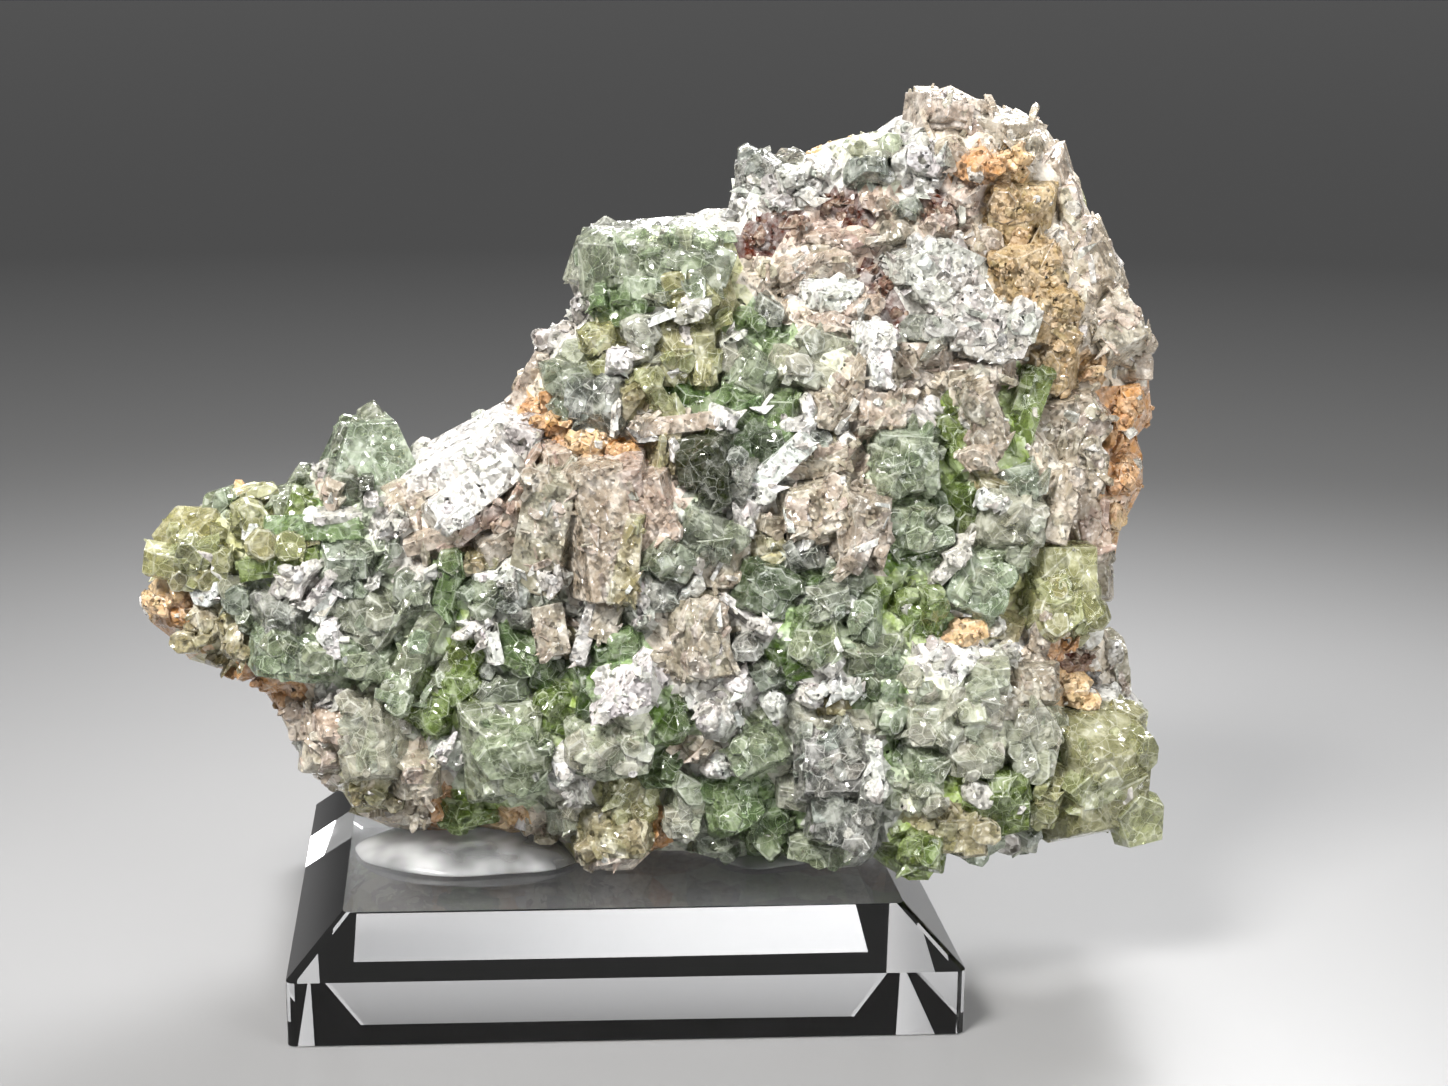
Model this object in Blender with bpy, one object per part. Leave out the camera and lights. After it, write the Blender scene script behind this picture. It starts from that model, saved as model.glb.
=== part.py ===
"""Apophyllite with stilbite: a grown-together crystal mass fixed with gel to a clear acrylic base."""
import math
import random

import bmesh
import bpy
import numpy as np
from mathutils import Matrix, Vector, noise
from mathutils.geometry import delaunay_2d_cdt

# Lengths in the lists are millimetres; the model is metres
MM = 0.001

# Acrylic base
BASE_WIDTH = 90.0
BASE_DEPTH = 75.0
BASE_SIDE = 8.8
BASE_TOP = 15.8
BASE_BEVEL = 7.3
BASE_CORNER = 1.2
BASE_CORNER_STEPS = 3

# Clear gap left where one piece sits on another
GAP = 0.3
FOOT = BASE_TOP + GAP

# Eye point that the across and up positions are read from, on the plane y = 0
EYE = (-21.0, -346.0, 136.0)

# Spacing of the rock's surface points, front and back
FRONT_STEP = 5.6
BACK_STEP = 7.5
ROUNDING = 13.0

# Edge of the rock as (across, up)
OUTLINE = [
    (-66.0, 51.5), (-64.3, 54.5), (-64.4, 57.0), (-63.8, 60.0), (-61.5, 63.0), (-57.5, 64.8),
    (-53.6, 66.6), (-50.4, 67.4), (-46.0, 66.2), (-43.6, 67.6), (-40.6, 69.6), (-38.5, 70.5),
    (-33.0, 71.0), (-29.0, 69.8), (-25.0, 71.0), (-20.0, 73.6), (-14.6, 77.0), (-13.2, 79.4),
    (-12.0, 82.0), (-9.8, 86.2), (-8.4, 89.2), (-5.4, 90.0), (-5.0, 93.4), (-4.4, 96.4),
    (-4.0, 99.0), (-2.2, 101.4), (0.5, 102.6), (5.0, 103.2), (10.0, 103.8), (13.0, 105.2),
    (16.6, 106.0), (17.2, 109.0), (17.8, 112.4), (22.0, 112.6), (26.5, 112.8), (30.5, 113.6),
    (33.0, 115.6), (36.5, 116.2), (39.6, 117.6), (42.2, 119.6), (43.4, 121.6), (46.0, 121.4),
    (50.0, 119.8), (54.0, 118.9), (58.4, 117.2), (60.2, 115.0), (61.8, 111.8), (63.8, 109.8),
    (65.0, 107.0), (66.4, 104.0), (69.0, 100.6), (70.2, 97.0), (70.8, 94.4), (72.4, 91.6),
    (74.4, 89.4), (74.8, 86.6), (74.4, 84.0), (75.2, 80.4), (75.2, 77.0), (73.6, 74.0),
    (74.2, 71.0), (74.6, 67.0), (73.0, 63.6), (72.2, 60.4), (71.6, 57.0), (71.0, 53.0),
    (69.8, 50.0), (69.2, 46.0), (71.8, 44.2), (73.8, 41.0), (74.0, 37.6), (75.4, 35.0),
    (77.0, 31.5), (77.2, 25.0), (76.0, 18.5), (74.0, 15.8), (68.4, 16.2), (63.4, 16.4),
    (61.0, 13.4), (57.0, 12.9), (53.0, 12.0), (49.4, 11.8), (46.2, 9.6), (44.2, 9.6),
    (41.0, 11.4), (38.4, 13.0), (36.0, 11.2), (33.6, 10.4), (30.0, 11.4), (25.0, 12.4),
    (20.0, 13.0), (15.5, 12.4), (11.0, 14.2), (6.0, 13.2), (2.5, 11.4), (-0.5, 10.6),
    (-4.0, 12.6), (-8.0, 15.4), (-13.0, 16.4), (-20.0, 16.8), (-27.0, 16.8), (-32.0, 18.2),
    (-36.4, 20.4), (-38.6, 23.0), (-42.4, 25.4), (-44.0, 28.4), (-45.6, 32.0), (-46.4, 35.4),
    (-48.6, 38.2), (-52.0, 40.6), (-56.0, 42.6), (-59.4, 44.0), (-61.4, 46.4), (-64.2, 49.0),
]

# How far back the edge stands at (across, up); minus is nearer the front
EDGE_AT = [
    (-66, 51, -2), (-60, 64, -2), (-46, 36, -4), (-38, 22, -5), (-20, 16, -3), (-9, 15, -7),
    (0, 10.5, -16), (11, 14, -12), (20, 13, -12), (34, 10, -17), (46, 9, -23), (60, 13, -16),
    (74, 25, -8), (72, 42, -3), (72, 60, 0), (75, 85, 4), (66, 104, 6), (45, 120, 8),
    (25, 112, 8), (2, 103, 3), (-9, 88, 1), (-22, 73, -3), (-34, 71, -2),
]

# Bulk of the rock at (across, up): how far it swells to the front and to the back
SWELL_AT = [
    (-58, 54, 8, 10), (-44, 50, 11, 14), (-34, 32, 9, 16), (-20, 60, 13, 17), (-14, 30, 11, 24),
    (5, 92, 11, 14), (4, 62, 16, 20), (4, 38, 13, 26), (4, 20, 5, 34), (26, 104, 8, 13),
    (28, 76, 14, 19), (28, 50, 14, 26), (28, 24, 9, 34), (48, 108, 9, 12), (54, 88, 11, 15),
    (54, 62, 13, 20), (54, 36, 13, 22), (54, 18, 8, 22), (68, 74, 7, 13), (70, 26, 9, 16),
]

# How deep the crystals are set in, as a share of their depth, and how far they spread
SINK = 0.2
SPREAD = 1.12

# Seeded lumps and blocks on the back
BACK_SEED = 11
BACK_COUNT = 26
BACK_APART = 12.5

# Gel pads: name, across, back, wide, deep, high
PADS = [
    ("gel_pad_left", -16.5, -7.0, 41.0, 22.0, 3.0),
    ("gel_pad_right", 24.0, -2.0, 26.0, 30.0, 2.4),
]
PAD_SIDES = 40
PAD_RINGS = 13
PAD_SHIFTS = [(0.0, 0.0, -0.35), (0.3, 0.0, 0.0), (-0.3, 0.0, 0.0), (0.0, 0.3, 0.0), (0.0, -0.3, 0.0)]

# Edges up to this many metres are welded, where no triangle turns by more than this cosine
MERGE = 0.0001
FACING = 0.8

# Crystals on the front: kind, across, up, wide, tall, turn in degrees, how far out, colour name
CRYSTALS = [
    # Left arm
    ("lump", -58.5, 59.5, 14.0, 11.0, 0, 0.0, "lime"),
    ("lump", -63.0, 57.0, 5.0, 8.0, 0, -1.0, "lime"),
    ("lump", -49.5, 65.2, 8.0, 6.0, 0, 0.0, "lime"),
    ("lump", -50.8, 62.3, 7.0, 6.0, 0, 1.0, "lime"),
    ("blade", -42.0, 61.3, 4.2, 15.0, -88, 1.2, "fern"),
    ("blade", -46.5, 57.0, 3.4, 13.0, -78, 0.2, "olive"),
    ("block", -36.8, 58.3, 8.0, 5.0, 0, 0.8, "sage"),
    ("lump", -62.4, 53.2, 6.0, 7.0, 20, 0.0, "tan"),
    ("lump", -56.8, 48.4, 9.0, 7.0, 10, 0.2, "khaki"),
    ("lump", -51.5, 50.5, 7.0, 6.0, 0, 0.6, "sage"),
    ("block", -46.8, 50.2, 8.0, 5.0, 0, 1.6, "smoke"),
    ("lump", -51.5, 45.4, 7.0, 7.0, 0, 0.2, "khaki"),
    ("block", -45.6, 44.6, 11.0, 8.0, -10, 0.6, "mint"),
    ("block", -33.8, 50.0, 10.0, 9.0, -35, 0.6, "sage"),
    ("block", -35.8, 43.6, 11.0, 7.0, -10, 0.4, "mint"),
    ("point", -34.2, 69.4, 13.0, 14.2, 0, 0.6, "sage"),
    # White blade and the fan beside it
    ("blade", -21.2, 70.0, 8.0, 20.0, -60, 2.6, "white"),
    ("blade", -22.3, 72.0, 3.0, 18.0, -63, 1.6, "white"),
    ("blade", -19.6, 66.8, 6.0, 16.0, -55, 3.6, "white"),
    ("lump", -29.2, 66.0, 7.0, 7.0, 0, 1.6, "cream"),
    ("blade", -12.6, 72.0, 5.0, 11.0, -15, 1.2, "frost"),
    ("blade", -13.2, 66.0, 6.0, 12.0, -30, 2.2, "rose"),
    ("blade", -8.6, 69.0, 4.0, 9.0, 0, 1.8, "rose"),
    ("blade", -8.2, 62.0, 8.0, 19.0, -10, 2.8, "beige"),
    ("blade", -2.6, 61.0, 8.0, 21.0, 8, 3.4, "beige"),
    ("blade", 2.0, 66.0, 7.0, 12.0, 12, 3.0, "rose"),
    ("blade", 6.2, 64.4, 6.0, 11.0, 15, 3.2, "rose"),
    ("blade", 1.8, 57.0, 5.0, 14.0, -5, 2.6, "khaki"),
    ("blade", -15.0, 61.0, 4.0, 11.0, -60, 2.0, "beige"),
    ("lump", -14.6, 55.6, 8.0, 4.8, 20, 2.8, "white"),
    ("block", -23.0, 54.0, 5.0, 9.0, -15, 0.2, "fern"),
    ("blade", -27.4, 43.8, 4.0, 19.0, -30, 1.8, "mint"),
    ("block", -20.8, 42.6, 7.0, 11.0, -30, -0.6, "olive"),
    ("block", -13.4, 44.4, 8.0, 6.0, -25, 0.4, "fern"),
    ("blade", -9.0, 46.4, 5.0, 8.0, 10, 2.4, "beige"),
    ("blade", 0.2, 50.4, 4.0, 12.0, -15, 2.8, "beige"),
    ("lump", 0.2, 43.6, 7.0, 6.2, 0, 1.6, "fern"),
    ("block", -8.0, 36.0, 7.0, 11.0, -5, -0.8, "olive"),
    ("shard", 1.4, 38.2, 8.6, 9.6, 0, 3.2, "white"),
    ("plate", 3.3, 51.6, 4.2, 10.0, 8, 3.4, "frost"),
    ("block", 7.6, 57.0, 8.0, 6.0, -30, 1.6, "sage"),
    # Upper left cluster
    ("block", 5.4, 98.6, 18.0, 9.0, 2, 1.2, "mint"),
    ("block", 4.6, 102.2, 13.0, 3.2, 3, 0.4, "smoke"),
    ("lump", 12.0, 97.0, 10.0, 9.0, 0, 1.2, "lime"),
    ("lump", 14.6, 93.4, 7.0, 7.0, 0, 1.4, "lime"),
    ("lump", -1.0, 87.5, 8.0, 7.0, 0, 2.4, "lime"),
    ("block", 7.4, 86.5, 5.0, 8.0, -8, 3.2, "lime"),
    ("block", 12.0, 85.8, 4.6, 9.0, 5, 2.4, "lime"),
    ("block", 20.2, 82.5, 6.0, 6.0, -30, 2.4, "mint"),
    ("lump", 23.6, 87.6, 8.0, 4.6, -10, 0.0, "fern"),
    ("plate", 29.6, 86.8, 8.0, 5.0, -15, 1.0, "pale"),
    ("block", 26.8, 83.6, 9.0, 4.6, -20, 1.6, "pale"),
    ("block", 36.7, 85.2, 4.4, 9.6, 0, 3.0, "white"),
    ("block", 37.0, 77.4, 7.4, 6.4, 0, 2.0, "cream"),
    ("block", 19.0, 79.0, 8.0, 6.0, -10, -0.2, "fern"),
    ("block", 22.6, 77.6, 8.0, 7.0, 0, -0.4, "fern"),
    ("block", -1.6, 78.6, 7.0, 8.0, -5, 1.8, "smoke"),
    ("shard", 3.2, 80.3, 6.0, 6.6, 180, 2.6, "khaki"),
    ("block", 13.0, 70.4, 6.2, 7.6, 10, 3.4, "night"),
    # Crest and the brown hollows under it
    ("plate", 19.8, 110.6, 6.6, 6.4, 15, 0.6, "smoke"),
    ("lump", 37.2, 113.0, 7.0, 6.0, 0, 1.6, "pale"),
    ("lump", 43.0, 113.6, 7.0, 7.0, 0, 2.0, "white"),
    ("block", 46.6, 118.8, 9.0, 5.0, -8, 0.6, "cream"),
    ("block", 52.6, 116.9, 9.0, 5.0, -15, 0.6, "cream"),
    ("lump", 28.0, 103.2, 8.0, 4.6, 15, 1.4, "rose"),
    ("blade", 27.6, 98.4, 4.6, 12.0, -75, 1.6, "cream"),
    ("plate", 44.6, 98.4, 13.0, 7.0, 5, 2.2, "frost"),
    ("plate", 46.8, 93.8, 11.0, 7.4, 0, 1.6, "frost"),
    ("plate", 52.2, 88.8, 12.0, 8.6, -15, 2.4, "frost"),
    ("block", 50.0, 83.8, 12.0, 4.0, 0, 1.4, "beige"),
    # Right flank
    ("block", 56.8, 105.0, 8.0, 9.0, 0, 0.8, "umber"),
    ("block", 57.4, 97.2, 8.0, 8.0, 20, 0.6, "umber"),
    ("block", 60.4, 91.6, 9.0, 8.0, -15, 0.6, "umber"),
    ("block", 61.2, 84.4, 8.0, 7.0, 0, 0.6, "umber"),
    ("block", 63.2, 104.6, 4.4, 11.0, 12, 0.0, "cream"),
    ("block", 66.4, 98.6, 7.0, 10.0, 24, 0.0, "cream"),
    ("block", 69.6, 89.8, 8.0, 10.0, 30, 0.2, "cream"),
    ("lump", 72.2, 78.6, 6.6, 6.4, 0, 0.8, "amber"),
    ("lump", 72.2, 68.4, 6.0, 6.6, 0, 1.0, "amber"),
    ("block", 69.4, 54.6, 4.6, 8.6, 8, 0.2, "beige"),
    ("plate", 63.8, 75.6, 11.0, 12.0, -20, 1.6, "beige"),
    ("plate", 66.8, 69.6, 7.0, 9.0, 10, 1.4, "beige"),
    ("plate", 67.0, 60.6, 5.6, 12.0, 14, 1.2, "rose"),
    ("blade", 57.4, 76.8, 4.8, 16.0, -20, 1.0, "olive"),
    ("plate", 52.2, 76.6, 6.0, 12.0, 12, 2.6, "beige"),
    ("block", 48.6, 64.6, 6.0, 7.6, 5, 0.0, "olive"),
    ("block", 41.2, 74.0, 9.6, 5.0, -5, 2.4, "mint"),
    ("block", 41.4, 69.4, 9.0, 7.6, 5, 2.6, "mint"),
    ("block", 40.8, 61.6, 7.6, 7.6, 3, 2.0, "mint"),
    ("block", 56.8, 61.8, 8.6, 7.6, -12, 2.8, "pale"),
    ("blade", 63.2, 63.6, 4.0, 11.0, -15, 2.4, "cream"),
    # Middle
    ("plate", 28.8, 71.4, 12.0, 4.6, 18, 3.4, "cream"),
    ("block", 29.2, 63.2, 10.0, 8.6, 10, 2.8, "cream"),
    ("block", 35.0, 61.4, 7.6, 10.6, -5, 2.4, "beige"),
    ("blade", 22.6, 69.4, 3.6, 15.0, -48, 3.2, "white"),
    ("block", 13.6, 60.4, 8.6, 7.0, -30, 1.0, "sage"),
    ("block", 16.4, 56.6, 7.0, 8.0, 0, 0.8, "beige"),
    ("block", 22.4, 51.8, 9.4, 7.4, -20, 0.0, "pine"),
    ("block", 29.6, 50.4, 8.0, 5.0, 10, 1.6, "sage"),
    ("block", 11.8, 45.6, 8.0, 12.0, 5, 1.8, "beige"),
    ("block", 37.2, 42.4, 8.6, 7.0, 0, 1.0, "mint"),
    ("block", 42.4, 48.6, 6.6, 9.0, 3, 0.0, "olive"),
    ("block", 51.8, 52.4, 9.0, 10.6, -20, 1.6, "mint"),
    ("block", 55.2, 57.0, 8.6, 5.6, 10, 2.0, "mint"),
    ("block", 63.4, 52.0, 10.0, 12.0, 0, 1.8, "lime"),
    ("block", 66.6, 47.4, 5.6, 8.0, 0, 1.4, "lime"),
    ("lump", 66.2, 38.0, 8.0, 5.0, 0, 1.0, "tan"),
    ("block", 61.0, 37.6, 7.0, 6.0, 0, 0.8, "beige"),
    ("block", 54.2, 38.4, 6.0, 6.0, 0, 1.4, "pale"),
    # Foot
    ("block", -41.2, 29.6, 6.0, 7.0, -5, 1.0, "cream"),
    ("block", -33.6, 31.2, 9.0, 12.0, 5, 1.0, "pale"),
    ("block", -28.4, 26.2, 7.0, 8.0, 0, 1.2, "cream"),
    ("block", -15.6, 29.4, 11.0, 14.2, 4, 2.6, "mint"),
    ("block", -24.4, 36.4, 7.6, 10.0, -30, -0.4, "olive"),
    ("block", -29.6, 36.0, 4.0, 9.0, 0, 0.8, "pale"),
    ("block", -0.4, 30.4, 11.2, 8.0, 8, 2.6, "pale"),
    ("block", 2.4, 22.2, 7.4, 7.0, 10, 1.8, "lime"),
    ("block", 0.6, 16.8, 10.0, 6.0, 0, 1.2, "khaki"),
    ("block", 10.6, 20.0, 5.6, 8.0, -12, 2.2, "pale"),
    ("plate", 14.0, 37.0, 8.0, 7.0, 0, 2.8, "frost"),
    ("lump", 15.4, 32.6, 6.0, 6.0, 0, 3.4, "frost"),
    ("block", 21.0, 28.3, 7.6, 6.0, 30, 2.4, "mint"),
    ("block", 17.6, 20.6, 8.0, 8.6, 15, 1.0, "fern"),
    ("block", 23.6, 18.2, 8.0, 8.4, -10, 1.2, "fern"),
    ("block", 33.0, 26.6, 11.6, 11.6, 0, 3.2, "smoke"),
    ("block", 34.0, 18.0, 9.6, 7.6, -8, 2.6, "smoke"),
    ("block", 33.0, 32.2, 12.6, 3.0, -4, 3.0, "pale"),
    ("block", 46.2, 32.6, 8.0, 8.0, 0, 1.0, "pale"),
    ("block", 45.0, 25.6, 6.0, 7.0, 0, 1.4, "mint"),
    ("plate", 53.6, 34.0, 5.6, 10.6, -5, 2.4, "pale"),
    ("plate", 60.6, 29.6, 8.4, 12.0, 10, 3.0, "pale"),
    ("block", 54.6, 21.4, 12.0, 8.6, 5, 1.4, "olive"),
    ("block", 50.2, 16.6, 9.6, 6.6, 0, 1.0, "khaki"),
    ("block", 45.8, 13.0, 6.4, 6.0, -10, 0.8, "olive"),
    ("block", 63.6, 21.2, 5.0, 9.0, -12, 1.8, "lime"),
    ("block", 69.8, 24.6, 14.2, 17.4, 0, 1.0, "moss"),
    ("block", 75.6, 25.0, 3.4, 14.0, -3, 0.0, "lime"),
]


def blend(table, across, up):
    """Distance-weighted values of a table at picture position (across, up)."""
    rows = np.array(table, dtype=float)
    spread = (rows[:, 0] - across) ** 2 + (rows[:, 1] - up) ** 2 + 4.0
    weight = spread ** -1.5
    return weight @ rows[:, 2:] / weight.sum()


def edge_distance(across, up):
    """Distance from (across, up) to the outline."""
    ring = np.array(OUTLINE)
    step = np.roll(ring, -1, axis=0) - ring
    gone = np.array([across, up]) - ring
    along = np.clip((gone * step).sum(axis=1) / (step ** 2).sum(axis=1), 0.0, 1.0)
    near = ring + step * along[:, None]
    return float(np.hypot(near[:, 0] - across, near[:, 1] - up).min())


def inside(across, up):
    """True where (across, up) lies within the outline."""
    odd = False
    last = OUTLINE[-1]
    for corner in OUTLINE:
        if (corner[1] > up) != (last[1] > up):
            cross = (last[0] - corner[0]) * (up - corner[1]) / (last[1] - corner[1]) + corner[0]
            if across < cross:
                odd = not odd
        last = corner
    return odd


def roughness(across, up, side):
    """Uneven height of the rock's skin."""
    broad = noise.noise(Vector((across, up, side)) * 0.09)
    fine = noise.noise(Vector((across, up, side + 40.0)) * 0.23)
    return 3.0 * broad + 1.4 * fine


def depth_at(across, up, side):
    """Depth of the rock's skin; side is -1 for the front and 1 for the back."""
    front, back = blend(SWELL_AT, across, up)
    swell = front if side < 0 else back
    reach = min(edge_distance(across, up) / ROUNDING, 1.0)
    profile = math.sqrt(1.0 - (1.0 - reach) ** 2)
    return blend(EDGE_AT, across, up)[0] + side * profile * (swell + roughness(across, up, side * 9.0))


def place(across, up, depth):
    """Point at a depth on the sight line through (across, up)."""
    scale = (depth - EYE[1]) / -EYE[1]
    return Vector((
        EYE[0] + (across - EYE[0]) * scale,
        depth,
        EYE[2] + (up - EYE[2]) * scale,
    ))


def skin(step, side):
    """Triangles of one side of the rock, with the outline's points first."""
    spots = [Vector(corner) for corner in OUTLINE]
    count = len(spots)
    low = np.array(OUTLINE).min(axis=0)
    high = np.array(OUTLINE).max(axis=0)
    row = 0
    up = low[1]
    while up < high[1]:
        across = low[0] + (row % 2) * step * 0.5
        while across < high[0]:
            if inside(across, up) and edge_distance(across, up) > step * 0.5:
                spots.append(Vector((across, up)))
            across += step
        up += step * 0.866
        row += 1
    ring = [(i, (i + 1) % count) for i in range(count)]
    flat = delaunay_2d_cdt(spots, ring, [list(range(count))], 1, 0.0001)
    spots = list(flat[0])
    faces = []
    for a, b, c in flat[2]:
        if max(a, b, c) >= count:
            faces.append((a, b, c))
            continue
        middle = len(spots)
        spots.append((spots[a] + spots[b] + spots[c]) / 3)
        faces += [(a, b, middle), (b, c, middle), (c, a, middle)]
    points = []
    for index, spot in enumerate(spots):
        depth = blend(EDGE_AT, *spot)[0] if index < count else depth_at(spot.x, spot.y, side)
        points.append(place(spot.x, spot.y, depth))
    return points, faces, count


def new_object(name, mesh, material, collection):
    """Put a mesh in a collection with one material."""
    thing = bpy.data.objects.new(name, mesh)
    mesh.materials.append(material)
    collection.objects.link(thing)
    return thing


def rock_mesh():
    """Closed mesh of the rock."""
    front, front_faces, count = skin(FRONT_STEP, -1)
    back, back_faces, _ = skin(BACK_STEP, 1)
    form = bmesh.new()
    made = [form.verts.new(point * MM) for point in front]
    rear = made[:count] + [form.verts.new(point * MM) for point in back[count:]]
    for face in front_faces:
        form.faces.new([made[i] for i in face])
    for face in back_faces:
        form.faces.new([rear[i] for i in reversed(face)])
    bmesh.ops.recalc_face_normals(form, faces=form.faces)
    mesh = bpy.data.meshes.new("rock")
    form.to_mesh(mesh)
    form.free()
    return mesh


def block_points(rng):
    """Corners of a stubby prism that slopes in to an off-centre front face, in a unit box."""
    points = []
    shift_x = rng.uniform(-0.1, 0.1)
    shift_z = rng.uniform(-0.1, 0.1)
    front_x = rng.uniform(0.24, 0.36)
    front_z = rng.uniform(0.24, 0.36)
    for x, z in ((-1, -1), (1, -1), (1, 1), (-1, 1)):
        trim = rng.choice((0.06, 0.16, 0.3))
        points.append(Vector((0.5 * x, 0.5, 0.5 * z)))
        points.append(Vector((0.5 * x, -0.12, 0.5 * z * (1.0 - trim))))
        points.append(Vector((0.5 * x * (1.0 - trim), -0.12, 0.5 * z)))
        points.append(Vector((front_x * x + shift_x, -0.5, front_z * z + shift_z)))
    return points


def point_points(rng):
    """Corners of a prism that narrows to a small flat top."""
    points = []
    for x, y in ((-0.5, -0.5), (0.5, -0.5), (0.5, 0.5), (-0.5, 0.5)):
        points.append(Vector((x, y, -0.5)))
        points.append(Vector((x, y, -0.12)))
        points.append(Vector((x * 0.46, y * 0.5, 0.5)))
    return points


def blade_points(rng):
    """Corners of a long flat blade with roof-shaped ends."""
    points = []
    for y, shrink in ((-0.5, 0.8), (0.5, 1.0)):
        for end in (-0.5, 0.5):
            points.append(Vector((-0.5 * shrink, y, end * 0.78)))
            points.append(Vector((0.5 * shrink, y, end * 0.82)))
            points.append(Vector((-0.04 * shrink, y, end * shrink)))
    return points


def plate_points(rng):
    """Corners of a many-sided tablet with a sloping rim."""
    points = []
    sides = rng.choice((5, 6, 7))
    for i in range(sides):
        angle = math.tau * (i + rng.uniform(-0.22, 0.22)) / sides
        x = 0.56 * math.cos(angle)
        z = 0.56 * math.sin(angle)
        points.append(Vector((x * 0.82, -0.5, z * 0.82)))
        points.append(Vector((x, 0.5, z)))
    return points


def shard_points(rng):
    """Corners of a three-cornered plate."""
    points = []
    for x, z in ((-0.5, -0.5), (0.42, 0.5), (0.42, -0.2)):
        points.append(Vector((x, -0.4, z)))
        points.append(Vector((x * 0.9, 0.5, z * 0.9)))
    return points


def lump_points(rng):
    """Corners of an uneven rounded lump."""
    points = []
    total = 14
    for i in range(total):
        height = 1.0 - 2.0 * (i + 0.5) / total
        ring = math.sqrt(1.0 - height * height)
        angle = 2.39996 * i
        reach = 0.5 * rng.uniform(0.84, 1.08)
        points.append(Vector((ring * math.cos(angle), ring * math.sin(angle), height)) * reach)
    return points


SHAPES = {
    "block": (block_points, 0.9),
    "point": (point_points, 0.8),
    "blade": (blade_points, 0.8),
    "plate": (plate_points, 0.5),
    "shard": (shard_points, 0.4),
    "lump": (lump_points, 0.9),
}


def crystal_points(kind, across, up, wide, tall, turn, out):
    """Corners of one crystal set into the rock's front, in millimetres."""
    rng = random.Random(int(across * 10) * 4001 + int(up * 10))
    make, ratio = SHAPES[kind]
    deep = ratio * min(max(wide, tall), 1.6 * min(wide, tall)) + 2.0
    depth = depth_at(across, up, -1) - 0.8 * out + SINK * deep + rng.uniform(-0.3, 0.3)
    centre = place(across, up, depth)
    scale = (depth - EYE[1]) / -EYE[1]
    tilt = Matrix.Rotation(rng.uniform(-0.3, 0.3), 3, "X") @ Matrix.Rotation(rng.uniform(-0.4, 0.4), 3, "Z")
    lean = Matrix.Rotation(-math.radians(turn), 3, "Y")
    size = Vector((wide * SPREAD, deep, tall * SPREAD)) * scale
    return [centre + lean @ (tilt @ (point * size)) for point in make(rng)]


def back_crystals():
    """Seeded lumps and blocks on the rock's back and sides."""
    rng = random.Random(BACK_SEED)
    rows = []
    while len(rows) < BACK_COUNT:
        across = rng.uniform(-62.0, 74.0)
        up = rng.uniform(16.0, 116.0)
        if not inside(across, up) or edge_distance(across, up) < 3.0:
            continue
        if any(math.hypot(across - r[0], up - r[1]) < BACK_APART for r in rows):
            continue
        rows.append((across, up, rng.uniform(6.0, 11.0), rng.choice(("lump", "block", "block"))))
    solids = []
    for across, up, wide, kind in rows:
        make, ratio = SHAPES[kind]
        centre = place(across, up, depth_at(across, up, 1) - 0.1 * wide)
        turn = Matrix.Rotation(rng.uniform(0.0, 3.0), 3, Vector((rng.uniform(-1, 1), 1, rng.uniform(-1, 1))))
        size = Vector((wide, wide * 0.8, wide * rng.uniform(0.7, 1.2)))
        solids.append((kind, [centre + turn @ (point * size) for point in make(rng)]))
    return solids


def hull_mesh(name, points):
    """Closed convex mesh round a set of points."""
    form = bmesh.new()
    for point in points:
        form.verts.new(point * MM)
    made = bmesh.ops.convex_hull(form, input=form.verts)
    loose = [item for item in made["geom_interior"] if isinstance(item, bmesh.types.BMVert)]
    bmesh.ops.delete(form, geom=loose, context="VERTS")
    bmesh.ops.dissolve_limit(form, angle_limit=0.01, verts=form.verts, edges=form.edges)
    bmesh.ops.triangulate(form, faces=form.faces)
    bmesh.ops.recalc_face_normals(form, faces=form.faces)
    mesh = bpy.data.meshes.new(name)
    form.to_mesh(mesh)
    form.free()
    return mesh


def box_mesh(name, low, high):
    """Closed box between two corners."""
    return hull_mesh(name, [Vector((x, y, z)) for x in (low[0], high[0]) for y in (low[1], high[1])
                            for z in (low[2], high[2])])


def apply(thing, modifier):
    """Replace a mesh by what its modifier makes."""
    graph = bpy.context.evaluated_depsgraph_get()
    done = bpy.data.meshes.new_from_object(thing.evaluated_get(graph))
    thing.modifiers.remove(modifier)
    thing.data = done


def cut(thing, tool, operation, solver="EXACT"):
    """Join or cut a piece with another."""
    change = thing.modifiers.new("cut", "BOOLEAN")
    change.operation = operation
    change.solver = solver
    change.object = tool
    apply(thing, change)


def join_all(thing, group):
    """Join every solid of a collection to a piece."""
    change = thing.modifiers.new("grown", "BOOLEAN")
    change.operation = "UNION"
    change.operand_type = "COLLECTION"
    change.collection = group
    change.solver = "MANIFOLD"
    apply(thing, change)


def weld_short(form, length):
    """Weld the ends of short edges wherever the surface stays closed."""
    welded = 1
    while welded:
        welded = 0
        touched = set()
        targets = {}
        for edge in form.edges:
            if edge.calc_length() > length:
                continue
            first, second = edge.verts
            ring = {e.other_vert(first) for e in first.link_edges}
            other = {e.other_vert(second) for e in second.link_edges}
            if (ring | other) & touched or len(ring & other) != 2:
                continue
            if not keeps_facing(first, second):
                continue
            touched |= ring | other
            targets[first] = second
            welded += 1
        if targets:
            bmesh.ops.weld_verts(form, targetmap=targets)


def keeps_facing(moved, target):
    """True where moving a corner onto another turns no triangle over."""
    for face in moved.link_faces:
        if target in face.verts:
            continue
        spots = [target.co if v is moved else v.co for v in face.verts]
        turned = (spots[1] - spots[0]).cross(spots[2] - spots[0])
        if turned.length < 1e-10 or turned.normalized().dot(face.normal) < FACING:
            return False
    return True


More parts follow.
